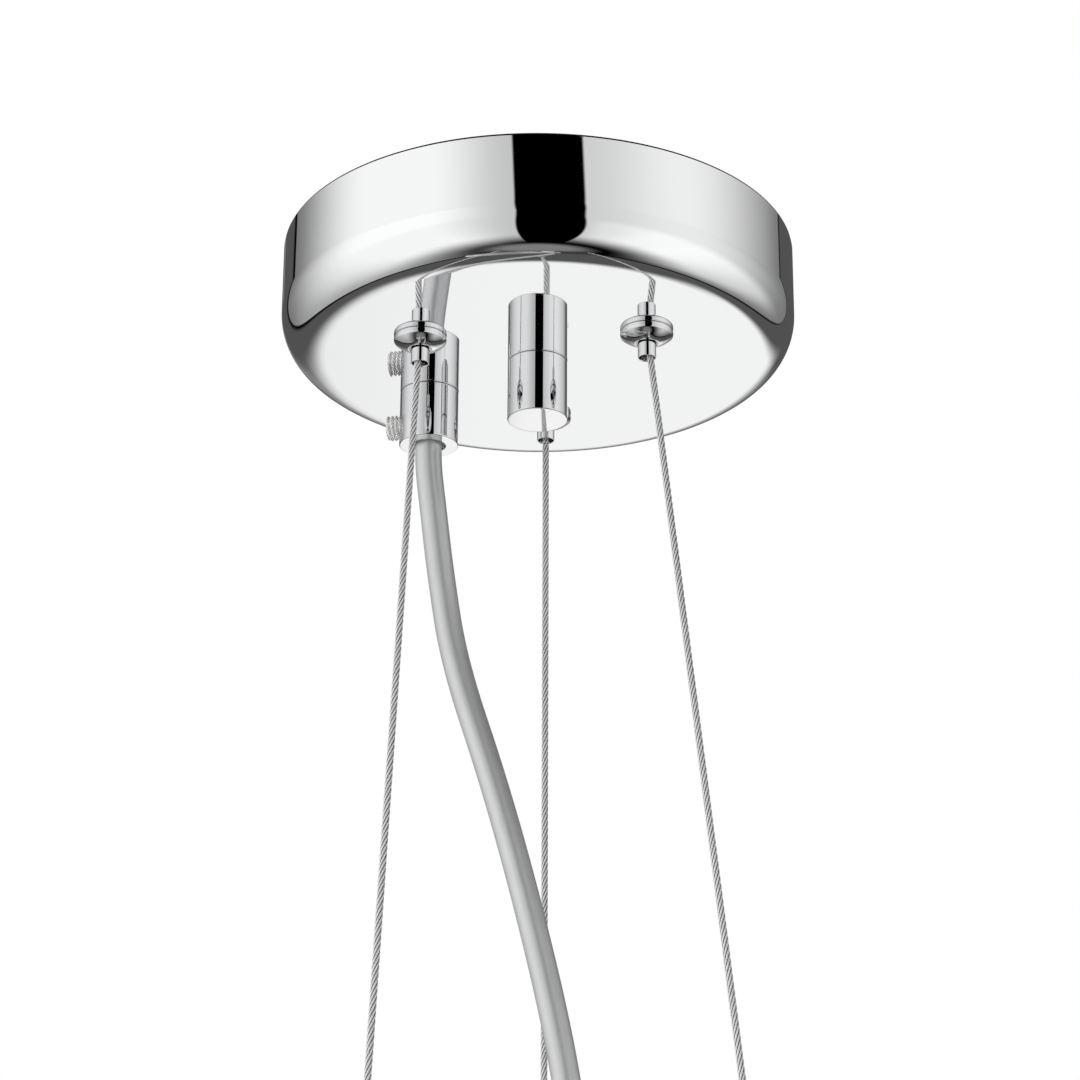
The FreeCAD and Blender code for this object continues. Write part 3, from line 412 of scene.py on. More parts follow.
# %% [markdown]
# Earth wires are green with a yellow stripe along them. The tube's own UV map runs once round it, so a
# colour ramp on that coordinate paints the stripe and follows every bend.

# %% Earth stripe
STRIPE_GREEN = (0.05, 0.26, 0.04, 1.0)
STRIPE_YELLOW = (0.80, 0.62, 0.03, 1.0)
STRIPE_START = 0.5


def coloured_by(material, source, first, second, change="LINEAR"):
    """Base colour from a ramp on a value that changes; each end is a place and its tone."""
    tree = material.node_tree
    ramp = tree.nodes.new("ShaderNodeValToRGB")
    ramp.color_ramp.interpolation = change
    for element, (place, tone) in zip(ramp.color_ramp.elements, (first, second)):
        element.position = place
        element.color = tone
    tree.links.new(source, ramp.inputs["Fac"])
    tree.links.new(ramp.outputs["Color"], tree.nodes["Principled BSDF"].inputs["Base Color"])


def stripe(material):
    tree = material.node_tree
    place = tree.nodes.new("ShaderNodeSeparateXYZ")
    tree.links.new(tree.nodes.new("ShaderNodeUVMap").outputs["UV"], place.inputs[0])
    coloured_by(material, place.outputs["Y"], (0.0, STRIPE_GREEN), (STRIPE_START, STRIPE_YELLOW), "CONSTANT")


stripe(FINISHES["earth_green"])
print("stripe on", FINISHES["earth_green"].name)

# %% [markdown]
# Shade gathers in the valleys between the strands of a wire rope, and here that shade is painted. The rope's
# mesh carries its own height above the rope's axis as an attribute, from 0 at the axis to 1 at the crowns,
# and a ramp on that attribute leaves the crowns bright and paints shade into the valleys.

# %% Rope valleys
# Painted shade for the valleys between the strands.
VALLEY_PAINTED_SHADE = (0.02, 0.02, 0.022, 1.0)
CROWN_TONE = (0.69, 0.69, 0.69, 1.0)
VALLEY_HEIGHT = 0.78
CROWN_HEIGHT = 0.88


def toned_by(material, attribute, first, second):
    """Base colour from an attribute of the mesh."""
    source = material.node_tree.nodes.new("ShaderNodeAttribute")
    source.attribute_name = attribute
    coloured_by(material, source.outputs["Fac"], first, second)


toned_by(FINISHES["rope"], "crown", (VALLEY_HEIGHT, VALLEY_PAINTED_SHADE), (CROWN_HEIGHT, CROWN_TONE))
print("valleys on", FINISHES["rope"].name)

# %% [markdown]
# The turned fittings have shade painted on their sides, so that the sides look darker than the lower ends.
# Each fitting's mesh marks the faces that look down, and the same kind of ramp keeps them bright and paints
# the other faces darker.

# %% Painted shade on the fittings' sides
# Painted shade for the sides of the turned fittings; the lower ends keep the plain chrome tone.
SIDE_PAINTED_SHADE = (0.75, 0.754, 0.76, 1.0)
END_TONE = (0.94, 0.94, 0.945, 1.0)
END_SLOPE = -0.9


def mark_ends(mesh):
    """Writes 1 on the faces that look down and 0 on all others."""
    ends = mesh.attributes.new("polish", "FLOAT", "FACE")
    ends.data.foreach_set("value", [float(face.normal.z < END_SLOPE) for face in mesh.polygons])


toned_by(FINISHES["fitting"], "polish", (0.0, SIDE_PAINTED_SHADE), (1.0, END_TONE))
print("polish on", FINISHES["fitting"].name)

# %% [markdown]
# The power cord is one smooth curve with a round section: straight out of its grip, down in a lazy S, and
# then wound into a tied coil below the picture, because the lamp that it feeds isn't part of this set. A
# coil's control points lie a little outside its line, since a curve of this order cuts inside them.

# %% Power cord
CORD_DIAMETER = 6.3
GRIP_END = (-26.85, 15.5, -41.2)
JACKET_TOP = (-26.85, 15.5, -16.6)
CORD_ROUTE = [
    (-26.8, 15.5, -47.0),
    (-25.4, 15.1, -58.0),
    (-23.4, 14.2, -74.0),
    (-19.7, 12.8, -97.0),
    (-9.8, 11.1, -127.0),
    (-0.9, 9.6, -160.0),
    (5.9, 8.3, -190.0),
    (9.2, 8.0, -214.0),
    (10.5, 8.0, -231.0),
    (10.5, 8.0, -243.7),
]
COIL_ENTRY = (10.5, 8.0, -250.0)
COIL_RADIUS = 38.5
COIL_STEP = 6.8
COIL_TURNS = 4
COIL_POINTS = 16
COIL_CLIMB = 0.5
CORD_END = (10.5, 1.2, -282.0)
CORD_RESOLUTION = 12
CORD_SIDES = 24
CURVE_ORDER = 3


def smooth_line(name, points, resolution):
    """A curve object along control points in millimetres, with no section yet."""
    data = bpy.data.curves.new(name, "CURVE")
    data.dimensions = "3D"
    data.resolution_u = resolution
    spline = data.splines.new("NURBS")
    spline.points.add(len(points) - 1)
    for control, point in zip(spline.points, points):
        control.co = (*(Vector(point) * MM), 1.0)
    spline.order_u = CURVE_ORDER
    spline.use_endpoint_u = True
    return placed(name, data)


def round_section(line, diameter, sides):
    """Gives a line its thickness and closed ends."""
    line.data.bevel_depth = diameter / 2 * MM
    line.data.bevel_resolution = sides // 2 - 2
    line.data.use_fill_caps = True


def coil_points():
    """Control points of the turns: inwards on one layer, outwards on the next."""
    # How far out the curve comes, as a share of its control points' distance
    inside = (3 + math.cos(2 * math.pi / COIL_POINTS)) / 4
    middle = COIL_TURNS / 2
    points = []
    for step in range(COIL_TURNS * COIL_POINTS + 1):
        turn = step / COIL_POINTS
        radius = (COIL_RADIUS - COIL_STEP * (middle - abs(turn - middle))) / inside
        climb = min(max((turn - middle) / COIL_CLIMB + 0.5, 0.0), 1.0)
        climb = climb * climb * (3 - 2 * climb)
        swing = 2 * math.pi * turn
        points.append((
            COIL_ENTRY[0] - COIL_RADIUS + radius * math.cos(swing),
            COIL_ENTRY[1] - COIL_STEP * climb,
            COIL_ENTRY[2] - radius * math.sin(swing),
        ))
    return points


def dress(piece, slot, body, *stands_for, look=None):
    """Finish, slot, body and the solids that a piece stands for; look is a finish of its own."""
    piece.data.materials.append(FINISHES[look or slot])
    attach(piece, body)
    if stands_for:
        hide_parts(*stands_for)
    return piece


cord_route = [JACKET_TOP, GRIP_END, *CORD_ROUTE, *coil_points(), CORD_END]
power_cord = smooth_line("power_cord_line", cord_route, CORD_RESOLUTION)
round_section(power_cord, CORD_DIAMETER, CORD_SIDES)
dress(power_cord, "cord", "canopy", "cord_jacket_inner", "power_cord", "power_cord_coil")
print("cord control points", len(power_cord.data.splines[0].points))

# %% [markdown]
# Inside the canopy the cord's three conductors part and run to their terminals. They are the same kind of
# curve, thinner.

# %% Leads
LEAD_DIAMETER = 2.2
LEAD_RESOLUTION = 8
LEAD_SIDES = 14
LEADS = {
    "live": ("brown", [
        (-28.195, 15.571, -16.6), (-28.5, 15.3, -10.2), (-26.7, 11.3, -5.9), (-20.5, 2.7, -5.4),
        (-15.4, -7.2, -8.0), (-9.8, -14.2, -13.0), (-7.0, -17.6, -17.0), (-6.5, -22.3, -20.7),
        (-6.5, -31.6, -20.7),
    ], 0.0651),
    "neutral": ("blue", [
        (-26.234, 14.297, -16.6), (-26.2, 14.3, -10.2), (-23.5, 10.9, -5.9), (-17.8, 3.5, -5.2),
        (-12.6, -6.8, -7.0), (-4.4, -13.8, -11.3), (3.6, -17.4, -16.4), (6.5, -22.3, -20.7),
        (6.5, -31.6, -20.7),
    ], 0.0704),
    "earth": ("earth_green", [
        (-26.112, 16.632, -16.6), (-25.9, 16.7, -10.2), (-22.7, 13.8, -5.9), (-16.4, 5.9, -4.8),
        (-10.0, -5.5, -5.2), (-1.0, -13.0, -6.9), (9.5, -15.5, -11.0), (17.0, -21.95, -21.65),
        (17.0, -31.95, -21.65),
    ], 0.0815),
}

for lead_name, (lead_slot, lead_route, lead_length) in LEADS.items():
    lead = smooth_line("lead_line_" + lead_name, lead_route, LEAD_RESOLUTION)
    round_section(lead, LEAD_DIAMETER, LEAD_SIDES)
    dress(lead, lead_slot, "canopy", "lead_" + lead_name)
print("leads", list(LEADS))

# %% [markdown]
# New solid pieces are drawn in millimetres and scaled once at the end. A few small helpers come first: what
# an operator gives back holds points and edges together, a cut drops what lies ahead of a plane, and an open
# rim gets a cap. With them one helper turns an outline on a lathe, as the real fittings are turned.

# %% Lathe
WELD = 1e-4
CUT_REACH = 1e-5
LARGE_ROUND = 2.0
LARGE_ROUND_SEGMENTS = 24
SMALL_ROUND_SEGMENTS = 4


def points_of(geometry):
    return [item for item in geometry if isinstance(item, bmesh.types.BMVert)]


def edges_of(geometry):
    return [item for item in geometry if isinstance(item, bmesh.types.BMEdge)]


def all_of(part):
    return part.verts[:] + part.edges[:] + part.faces[:]


def cut(part, point, normal, clear=True):
    bmesh.ops.bisect_plane(part, geom=all_of(part), dist=CUT_REACH, plane_co=point, plane_no=normal,
                           clear_outer=clear)


def open_rims(part):
    return [edge for edge in part.edges if edge.is_boundary]


def cap(part):
    bmesh.ops.holes_fill(part, edges=open_rims(part), sides=0)


def face_outwards(part):
    bmesh.ops.recalc_face_normals(part, faces=part.faces)


def ease_corners(part, geometry, offset, segments, affect="VERTICES"):
    bmesh.ops.bevel(part, geom=geometry, offset=offset, offset_type="OFFSET", segments=segments, profile=0.5,
                    affect=affect, material=-1)


def wind(part, turns, steps, climb=0.0, **options):
    """Turns an outline about Z and moves it up on the way."""
    bmesh.ops.spin(part, geom=part.verts[:] + part.edges[:], axis=(0, 0, 1), angle=2 * math.pi * turns,
                   steps=steps, dvec=(0, 0, climb / steps), **options)


def turned(corners, closed=True, steps=96):
    """A turned part from (radius, height, rounding) corners."""
    part = bmesh.new()
    ring = [part.verts.new((radius, 0, height)) for radius, height, _ in corners]
    ends = ring[1:] + ring[:1] if closed else ring[1:]
    for first, second in zip(ring, ends):
        part.edges.new((first, second))
    for corner, (_, _, rounding) in zip(ring, corners):
        if rounding:
            segments = LARGE_ROUND_SEGMENTS if rounding > LARGE_ROUND else SMALL_ROUND_SEGMENTS
            ease_corners(part, [corner], rounding, segments)
    wind(part, 1, steps, use_merge=True)
    bmesh.ops.remove_doubles(part, verts=part.verts, dist=WELD)
    bmesh.ops.dissolve_degenerate(part, edges=part.edges, dist=WELD)
    face_outwards(part)
    return part


print("lathe ready, weld", WELD)

# %% [markdown]
# A thread is one tooth's outline, turned and moved on at the same time. It is wound a turn too long at both
# ends and cut to its length. Another helper joins the parts of a piece and hands it to its body.

# %% Threads and pieces
THREAD_STEPS = 24
THREAD_DEPTH = 0.61
CREST_START = -0.58
CREST_END = -0.42


def threaded(diameter, pitch, length, core=0.0):
    """A thread along +Z from 0 to length: a closed rod, or a sleeve that ends on a core."""
    part = bmesh.new()
    crest = diameter / 2
    root = crest - THREAD_DEPTH * pitch
    tooth = [(root, -pitch), (crest, CREST_START * pitch), (crest, CREST_END * pitch), (root, 0.0)]
    corners = [part.verts.new((radius, 0, height)) for radius, height in tooth]
    for first, second in zip(corners, corners[1:]):
        part.edges.new((first, second))
    turns = math.ceil(length / pitch) + 2
    wind(part, turns, THREAD_STEPS * turns, pitch * turns)
    bmesh.ops.remove_doubles(part, verts=part.verts, dist=WELD)
    for height, outward in ((0.0, -1), (length, 1)):
        cut(part, (0, 0, height), (0, 0, outward))
    if core:
        inward = bmesh.ops.extrude_edge_only(part, edges=open_rims(part))["geom"]
        for vert in points_of(inward):
            vert.co.xy *= core / vert.co.xy.length
    else:
        cap(part)
    face_outwards(part)
    return part


def along(start, direction):
    """Local Z laid along a direction from a start point."""
    return Matrix.Translation(start) @ Vector(direction).to_track_quat("Z", "Y").to_matrix().to_4x4()


def piece(name, parts, slot, body, *stands_for, look=None, crease=35.0, even=True):
    """One object from parts and their places, dressed and riding on its body."""
    mesh = bpy.data.meshes.new(name)
    whole = bmesh.new()
    for part, place in parts:
        bmesh.ops.transform(part, matrix=Matrix.Scale(MM, 4) @ place, verts=part.verts)
        part.to_mesh(mesh)
        part.free()
        whole.from_mesh(mesh)
    whole.to_mesh(mesh)
    whole.free()
    mesh.shade_smooth()
    mesh.set_sharp_from_angle(angle=math.radians(crease))
    if look == "fitting":
        # Fittings mark their down-facing faces for the painted shade on their sides.
        mark_ends(mesh)
    made = placed(name, mesh)
    if even:
        made.modifiers.new("even_shading", "WEIGHTED_NORMAL").keep_sharp = True
    return dress(made, slot, body, *stands_for, look=look)


print("threads ready, steps", THREAD_STEPS)

# %% [markdown]
# The canopy is drawn from one sheet: a flat underside, a generous rounded corner and a straight wall. Turning
# its section gives a mirror with no facets. The five holes need the flat part to be filled between circles,
# which one fill operator does above and below.

# %% Canopy
FACE = -27.4
SHEET = 1.2
CANOPY_RADIUS = 60.0
CANOPY_CORNER = 10.2
BEND_RADIUS = 49.6
RIM_ROUND = 0.72
WIRE_ANGLES = {"far": 90.0, "left": 210.0, "right": 330.0}
WIRE_CIRCLE = 30.0
GRIP_ANGLE = 150.0
GRIP_CIRCLE = 31.0
STUD_HOLE = 4.2
GRIP_HOLE = 5.2
BARREL_HOLE = 4.2
CANOPY_STEPS = 256


def polar(radius, angle, height=0.0):
    """A point by its distance from the axis, its direction in degrees and its height."""
    turn = math.radians(angle)
    return Vector((radius * math.cos(turn), radius * math.sin(turn), height))


def boundary(part, height):
    """Open edges that lie at one height."""
    return [edge for edge in part.edges
            if len(edge.link_faces) < 2 and all(abs(vert.co.z - height) < WELD for vert in edge.verts)]


def grown(part, edges, rise):
    """Walls pulled up from edges; the new points and edges."""
    walls = bmesh.ops.extrude_edge_only(part, edges=edges)["geom"]
    bmesh.ops.translate(part, verts=points_of(walls), vec=(0, 0, rise))
    return walls


def hole_wall(part, radius, centre, low, depth, segments):
    """The wall of a round hole, open at both ends."""
    rim = bmesh.ops.create_circle(part, segments=segments, radius=radius,
                                  matrix=Matrix.Translation((centre.x, centre.y, low)))["verts"]
    edges = {edge for vert in rim for edge in vert.link_edges}
    return grown(part, list(edges), depth)


def fill_between(part, height):
    """A flat face at one height that leaves the holes open."""
    bmesh.ops.triangle_fill(part, use_beauty=True, edges=boundary(part, height), normal=(0, 0, 1))


def pierce(part, circles, low, high, segments=48):
    """Hole walls between two heights, then both flat faces filled round them."""
    for radius, centre in circles:
        hole_wall(part, radius, centre, low, high - low, segments)
    for height in (low, high):
        fill_between(part, height)
    face_outwards(part)


def canopy_part():
    inner = CANOPY_RADIUS - SHEET
    part = turned([
        (BEND_RADIUS, FACE, 0),
        (CANOPY_RADIUS, FACE, CANOPY_CORNER),
        (CANOPY_RADIUS, 0, RIM_ROUND),
        (inner, 0, RIM_ROUND),
        (inner, FACE + SHEET, CANOPY_CORNER - SHEET),
        (BEND_RADIUS, FACE + SHEET, 0),
    ], closed=False, steps=CANOPY_STEPS)
    circles = [(STUD_HOLE, polar(0, 0)), (GRIP_HOLE, polar(GRIP_CIRCLE, GRIP_ANGLE))]
    circles += [(BARREL_HOLE, polar(WIRE_CIRCLE, angle)) for angle in WIRE_ANGLES.values()]
    pierce(part, circles, FACE, FACE + SHEET)
    return part


canopy = piece("canopy_cup", [(canopy_part(), Matrix())], "chrome", "canopy", "canopy_shell")
print("canopy faces", len(canopy.data.polygons))

# %% [markdown]
# A blind round nut on the centre stud holds the canopy up. Its side carries a small slotted set screw. The
# edge towards the canopy is eased a little, which draws the fine dark line where nut and mirror image meet,
# and polishing has left the lower end very slightly domed.

# %% Retaining nut
NUT_RADIUS = 7.0
NUT_HEIGHT = 15.0
NUT_BORE = 4.08
NUT_BORE_DEPTH = 13.4
NUT_DOME = 0.3
NUT_DOME_STEPS = 8
SEAT_GAP = 0.02
SEAT_EDGE = 0.45
END_EDGE = 0.3
SMALL_THREAD = (4.0, 0.7)
SET_SCREW_SLOT = (0.8, 1.0)
SET_SCREW_ANGLE = 40.0
SET_SCREW_DROP = 11.5
SET_SCREW_START = 4.3
SET_SCREW_END = 7.6
UPWARD = 0.9
AT_END = 1e-3


def slotted(part, length, width, depth):
    """Cuts a driver slot across the outer end of a screw along +Z."""
    for side in (-1, 1):
        cut(part, (0, side * width / 2, 0), (0, side, 0), clear=False)
    slot_floor = [face for face in part.faces
                  if abs(face.calc_center_median().y) < width / 2 and face.normal.z > UPWARD
                  and face.calc_center_median().z > length - AT_END]
    sunk = bmesh.ops.extrude_face_region(part, geom=slot_floor)["geom"]
    bmesh.ops.delete(part, geom=slot_floor, context="FACES")
    bmesh.ops.translate(part, verts=points_of(sunk), vec=(0, 0, -depth))
    return part


nut_end = [
    (NUT_RADIUS * share, FACE - NUT_HEIGHT + NUT_DOME * share ** 2, 0)
    for share in (step / NUT_DOME_STEPS for step in range(NUT_DOME_STEPS))
]
nut_part = turned(nut_end + [
    (NUT_RADIUS, FACE - NUT_HEIGHT + NUT_DOME, END_EDGE),
    (NUT_RADIUS, FACE - SEAT_GAP, SEAT_EDGE),
    (NUT_BORE, FACE - SEAT_GAP, 0),
    (NUT_BORE, FACE - NUT_BORE_DEPTH, 0),
    (0, FACE - NUT_BORE_DEPTH, 0),
], closed=False, steps=128)
retaining_nut = piece("round_nut", [(nut_part, Matrix())], "chrome", "retaining_nut", "retaining_nut",
                      look="fitting")

set_screw_length = SET_SCREW_END - SET_SCREW_START
set_screw_start = polar(SET_SCREW_START, SET_SCREW_ANGLE, FACE - SET_SCREW_DROP)
set_screw_place = along(set_screw_start, polar(1, SET_SCREW_ANGLE))
set_screw_part = slotted(threaded(*SMALL_THREAD, set_screw_length), set_screw_length, *SET_SCREW_SLOT)
set_screw = piece("set_screw", [(set_screw_part, set_screw_place)], "steel", "nut_set_screw", "nut_set_screw",
                  even=False)
print("nut faces", len(retaining_nut.data.polygons), "screw faces", len(set_screw.data.polygons))

# %% [markdown]
# Each wire leaves through a gripper: a flange with a shallow dome under it and, out of the dome, a
# spring-loaded nipple that frees the wire when it is pressed. The nipple's mouth is countersunk, so that the
# wire can lean out of it. The barrel above the flange is threaded for its lock nut.

# %% Wire grippers
FLANGE = 6.1
FLANGE_LOW = -1.2
DOME_END = -3.1
DOME_TIP = 2.8
DOME_BULGE = 0.15
DOME_STEPS = 8
RELIEF = 2.6
RELIEF_DEPTH = 0.8
BARREL = 4.0
BARREL_TOP = 15.0
BARREL_ROOT = 3.42
BARREL_THREAD_LOW = 5.2
BARREL_PITCH = 1.0
BARREL_CORE = 3.35
THREAD_END = 0.3
CHAMBER = 3.0
CAP_RADIUS = 3.35
CAP_SEAT = 13.4
GUIDE = 2.2
NIPPLE = 2.1
SEAT_BORE = 2.59
SEAT_LOW = 3.0
SHOULDER = 2.49
SHOULDER_LOW = 3.05
SHOULDER_HIGH = 3.85
NIPPLE_DROP = 6.7
MOUTH = 1.75
MOUTH_SINK = 0.15
MOUTH_SINK_DEPTH = 0.45
SLEEVE_TOP = 9.0
SLEEVE_BORE = 1.2
FLARE_LEVEL = 5.0
SPRING_WIRE = 0.6
SPRING_SIDES = 8
SPRING_RADIUS = 1.9
SPRING_TURNS = 3.5
SPRING_LOW = 9.35
SPRING_HIGH = 13.05


def dome():
    """Corners of the shallow arch between the nipple's hole and the flange's rim."""
    tip = Vector((DOME_TIP, DOME_END))
    rim = Vector((FLANGE, FLANGE_LOW))
    outward = Vector((rim.y - tip.y, tip.x - rim.x)).normalized()
    for step in range(1, DOME_STEPS):
        share = step / DOME_STEPS
        yield (*(tip.lerp(rim, share) + outward * (4 * DOME_BULGE * share * (1 - share))), 0)


def gripper_parts():
    """The barrel with its flange, and the barrel's thread."""
    body = turned([
        (GUIDE, DOME_END + RELIEF_DEPTH, 0),
        (RELIEF, DOME_END + RELIEF_DEPTH, 0),
        (RELIEF, DOME_END, 0.05),
        (DOME_TIP, DOME_END, 0.08),
        *dome(),
        (FLANGE, FLANGE_LOW, 0.3),
        (FLANGE, -SEAT_GAP, 0.35),
        (BARREL, -SEAT_GAP, 0),
        (BARREL, BARREL_THREAD_LOW, 0),
        (BARREL_ROOT, BARREL_THREAD_LOW, 0),
        (BARREL_ROOT, BARREL_TOP, 0.1),
        (CAP_RADIUS, BARREL_TOP, 0),
        (CAP_RADIUS, CAP_SEAT, 0),
        (CHAMBER, CAP_SEAT, 0),
        (CHAMBER, SLEEVE_TOP, 0),
        (SEAT_BORE, SEAT_LOW, 0),
        (GUIDE, SEAT_LOW, 0),
    ])
    thread_length = BARREL_TOP - BARREL_THREAD_LOW - THREAD_END
    return body, threaded(2 * BARREL, BARREL_PITCH, thread_length, core=BARREL_CORE)


def nipple_part():
    return turned([
        (MOUTH, MOUTH_SINK_DEPTH - NIPPLE_DROP, 0),
        (MOUTH + MOUTH_SINK, -NIPPLE_DROP, 0.05),
        (NIPPLE, -NIPPLE_DROP, 0.12),
        (NIPPLE, SHOULDER_LOW, 0),
        (SHOULDER, SHOULDER_LOW, 0),
        (SHOULDER, SHOULDER_HIGH, 0),
        (NIPPLE, SHOULDER_HIGH, 0),
        (NIPPLE, SLEEVE_TOP, 0),
        (SLEEVE_BORE, SLEEVE_TOP, 0),
        (SLEEVE_BORE, FLARE_LEVEL, 0),
    ], steps=64)


def spring_part():
    part = bmesh.new()
    section = Matrix.Translation((SPRING_RADIUS, 0, SPRING_LOW)) @ Matrix.Rotation(math.pi / 2, 4, "X")
    bmesh.ops.create_circle(part, segments=SPRING_SIDES, radius=SPRING_WIRE / 2, matrix=section)
    wind(part, SPRING_TURNS, int(THREAD_STEPS * SPRING_TURNS), SPRING_HIGH - SPRING_LOW)
    cap(part)
    face_outwards(part)
    return part


for side, angle in WIRE_ANGLES.items():
    under = Matrix.Translation(polar(WIRE_CIRCLE, angle, FACE))
    barrel, barrel_thread = gripper_parts()
    thread_place = under @ Matrix.Translation((0, 0, BARREL_THREAD_LOW))
    piece("gripper_" + side, [(barrel, under), (barrel_thread, thread_place)], "chrome", "canopy",
          "gripper_body_" + side, look="fitting")
    piece("nipple_" + side, [(nipple_part(), under)], "chrome", "plunger_" + side, "gripper_plunger_" + side,
          look="fitting")
    spring = piece("spring_" + side, [(spring_part(), under)], "steel", "canopy", "gripper_spring_" + side,
                   even=False)
    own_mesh(spring)
print("grippers", list(WIRE_ANGLES))

# %% [markdown]
# A suspension wire is six strands laid round a core. A ring of small circles, turned and moved on at the same
# time, winds one lay of all six at once, and copies of that lay make up the length. The rope starts a little
# above its pivot, so that it still reaches into a pressed nipple, and ends in a swaged barrel with a threaded
# stud.

# %% Wire ropes
WIRE_DIAMETER = 1.6
WIRE_LAY = 9.9
WIRE_STEPS = 24
STRANDS = 6
STRAND_RADIUS = 0.267
STRAND_SIDES = 14
CORE_RADIUS = 0.3
CORE_SIDES = 16
ROPE_LEAD = 0.8
ROUTE_RESOLUTION = 40
PIVOT_DEPTH = 1.0
PIVOT_LEVEL = FACE - NIPPLE_DROP + PIVOT_DEPTH
PIVOT_OFFSET = 0.7
HANG_RADIUS = 45.5
HANG_TURN = 6.0
HANG_OFFSET = 4.0
HANG_LEVEL = -212.0
END_SOCKET = 8.0
END_BARREL = 13.0
END_STUD = 8.0
END_BORE = 0.85
END_LIP = 1.5
END_RADIUS = 2.5
END_CONE = 1.0
END_EASE = 0.1
CRIMPS = (-4.6, -0.6)
CRIMP_RADIUS = 2.25
CRIMP_SLOPE = 0.3
CRIMP_WIDTH = 1.5


def wire_line(angle):
    """Upper and lower end of one free wire."""
    axis = polar(WIRE_CIRCLE, angle, PIVOT_LEVEL)
    low = polar(HANG_RADIUS, angle + HANG_TURN, HANG_LEVEL) + Vector((HANG_OFFSET, 0, 0))
    lean = Vector((low.x - axis.x, low.y - axis.y, 0)).normalized()
    return axis + lean * PIVOT_OFFSET, low


def line_points(name, ends):
    """Points read from a smooth line, in millimetres."""
    route = smooth_line(name, ends, ROUTE_RESOLUTION)
    mesh = bpy.data.meshes.new_from_object(route)
    points = [vert.co / MM for vert in mesh.vertices]
    data = route.data
    bpy.data.objects.remove(route)
    bpy.data.curves.remove(data)
    bpy.data.meshes.remove(mesh)
    return points


def rope_part(length):
    """All strands of a rope along +Z from 0 to length."""
    part = bmesh.new()
    for strand in range(STRANDS):
        place = Matrix.Translation(polar(WIRE_DIAMETER / 2 - STRAND_RADIUS, FULL_TURN * strand / STRANDS))
        bmesh.ops.create_circle(part, segments=STRAND_SIDES, radius=STRAND_RADIUS, matrix=place)
    bmesh.ops.create_circle(part, segments=CORE_SIDES, radius=CORE_RADIUS)
    wind(part, 1, WIRE_STEPS, WIRE_LAY)
    lay = all_of(part)
    for copy in range(1, math.ceil(length / WIRE_LAY)):
        copied = bmesh.ops.duplicate(part, geom=lay)["geom"]
        bmesh.ops.translate(part, verts=points_of(copied), vec=(0, 0, copy * WIRE_LAY))
    bmesh.ops.remove_doubles(part, verts=part.verts, dist=WELD)
    cut(part, (0, 0, length), (0, 0, 1))
    cap(part)
    face_outwards(part)
    crown = part.verts.layers.float.new("crown")
    for vert in part.verts:
        vert[crown] = vert.co.xy.length / (WIRE_DIAMETER / 2)
    return part


def crimps():
    """Corners of the shallow grooves that swaging leaves."""
    for low in CRIMPS:
        high = low + CRIMP_WIDTH
        yield END_RADIUS, low, END_EASE
        yield CRIMP_RADIUS, low + CRIMP_SLOPE, END_EASE
        yield CRIMP_RADIUS, high - CRIMP_SLOPE, END_EASE
        yield END_RADIUS, high, END_EASE


def end_parts():
    """The swaged barrel below a wire, and its stud."""
    barrel = turned([
        (END_BORE, -END_SOCKET, 0),
        (END_LIP, -END_SOCKET, 0.15),
        (END_RADIUS, END_CONE - END_SOCKET, 0.2),
        *crimps(),
        (END_RADIUS, END_BARREL - END_SOCKET, 0.25),
        (0, END_BARREL - END_SOCKET, 0),
        (0, 0, 0),
        (END_BORE, 0, 0),
    ], steps=48)
    return barrel, threaded(*SMALL_THREAD, END_STUD)


for side, angle in WIRE_ANGLES.items():
    upper, lower = wire_line(angle)
    points = line_points("wire_route_" + side, [upper, (upper + lower) / 2, lower])
    heading = (points[-1] - points[0]).normalized()
    length = (points[-1] - points[0]).length
    body = "wire_" + side
    rope_place = along(points[0] - heading * ROPE_LEAD, heading)
    rope = piece("wire_rope_" + side, [(rope_part(length + ROPE_LEAD), rope_place)], "wire", body,
                 "suspension_wire_" + side, look="rope", even=False)
    barrel, stud = end_parts()
    below = along(lower, heading)
    stud_place = below @ Matrix.Translation((0, 0, END_BARREL - END_SOCKET))
    end = piece("wire_fitting_" + side, [(barrel, below), (stud, stud_place)], "steel", body,
                "wire_end_" + side)
    print("wire", side, "length", round(length, 1), "faces", len(rope.data.polygons))

# %% [markdown]
# Above its pivot each wire is held inside the gripper and shows again for a moment at the top. That stretch
# is a short smooth curve of the same thickness.

# %% Held wire ends
TAIL_LEVEL = 21.0
TAIL_BEND = 4.5
TAIL_GAP = 1.1
TAIL_SIDES = 12

for side, angle in WIRE_ANGLES.items():
    upper, _ = wire_line(angle)
    route = [polar(WIRE_CIRCLE, angle, FACE + TAIL_LEVEL), polar(WIRE_CIRCLE, angle, FACE + TAIL_BEND),
             upper + Vector((0, 0, TAIL_GAP))]
    tail = smooth_line("wire_tail_line_" + side, route, LEAD_RESOLUTION)
    round_section(tail, WIRE_DIAMETER, TAIL_SIDES)
    dress(tail, "wire", "canopy", "wire_tail_" + side)
print("tails", len(WIRE_ANGLES))

# %% [markdown]
# The cord leaves through a chrome cylinder with a threaded stem. A clear nylon screw in its side presses on a
# thin bushing, which sits a little inside the bore, so a dark ring shows round the cord.

# %% Cord grip
GRIP_RADIUS = 7.0
GRIP_LOW = -41.2
GRIP_BORE = 4.0
GRIP_ROOF = -29.9
STEM_RADIUS = 5.0
STEM_TOP = -17.4
STEM_BORE = 3.5
STEM_THREAD_LOW = -22.2
STEM_ROOT = 4.4
STEM_CORE = 4.3
STEM_PITCH = 1.0
LINER_LOW = -39.8
LINER_GAP = 0.05
LINER_OUT = 3.95
LINER_IN = 3.35
CLAMP_DROP = 8.5
CLAMP_ANGLE = 172.0
CLAMP_START = 4.05
CLAMP_END = 10.0
CLAMP_THREAD = (6.0, 1.0)
CLAMP_SLOT = (1.2, 1.6)

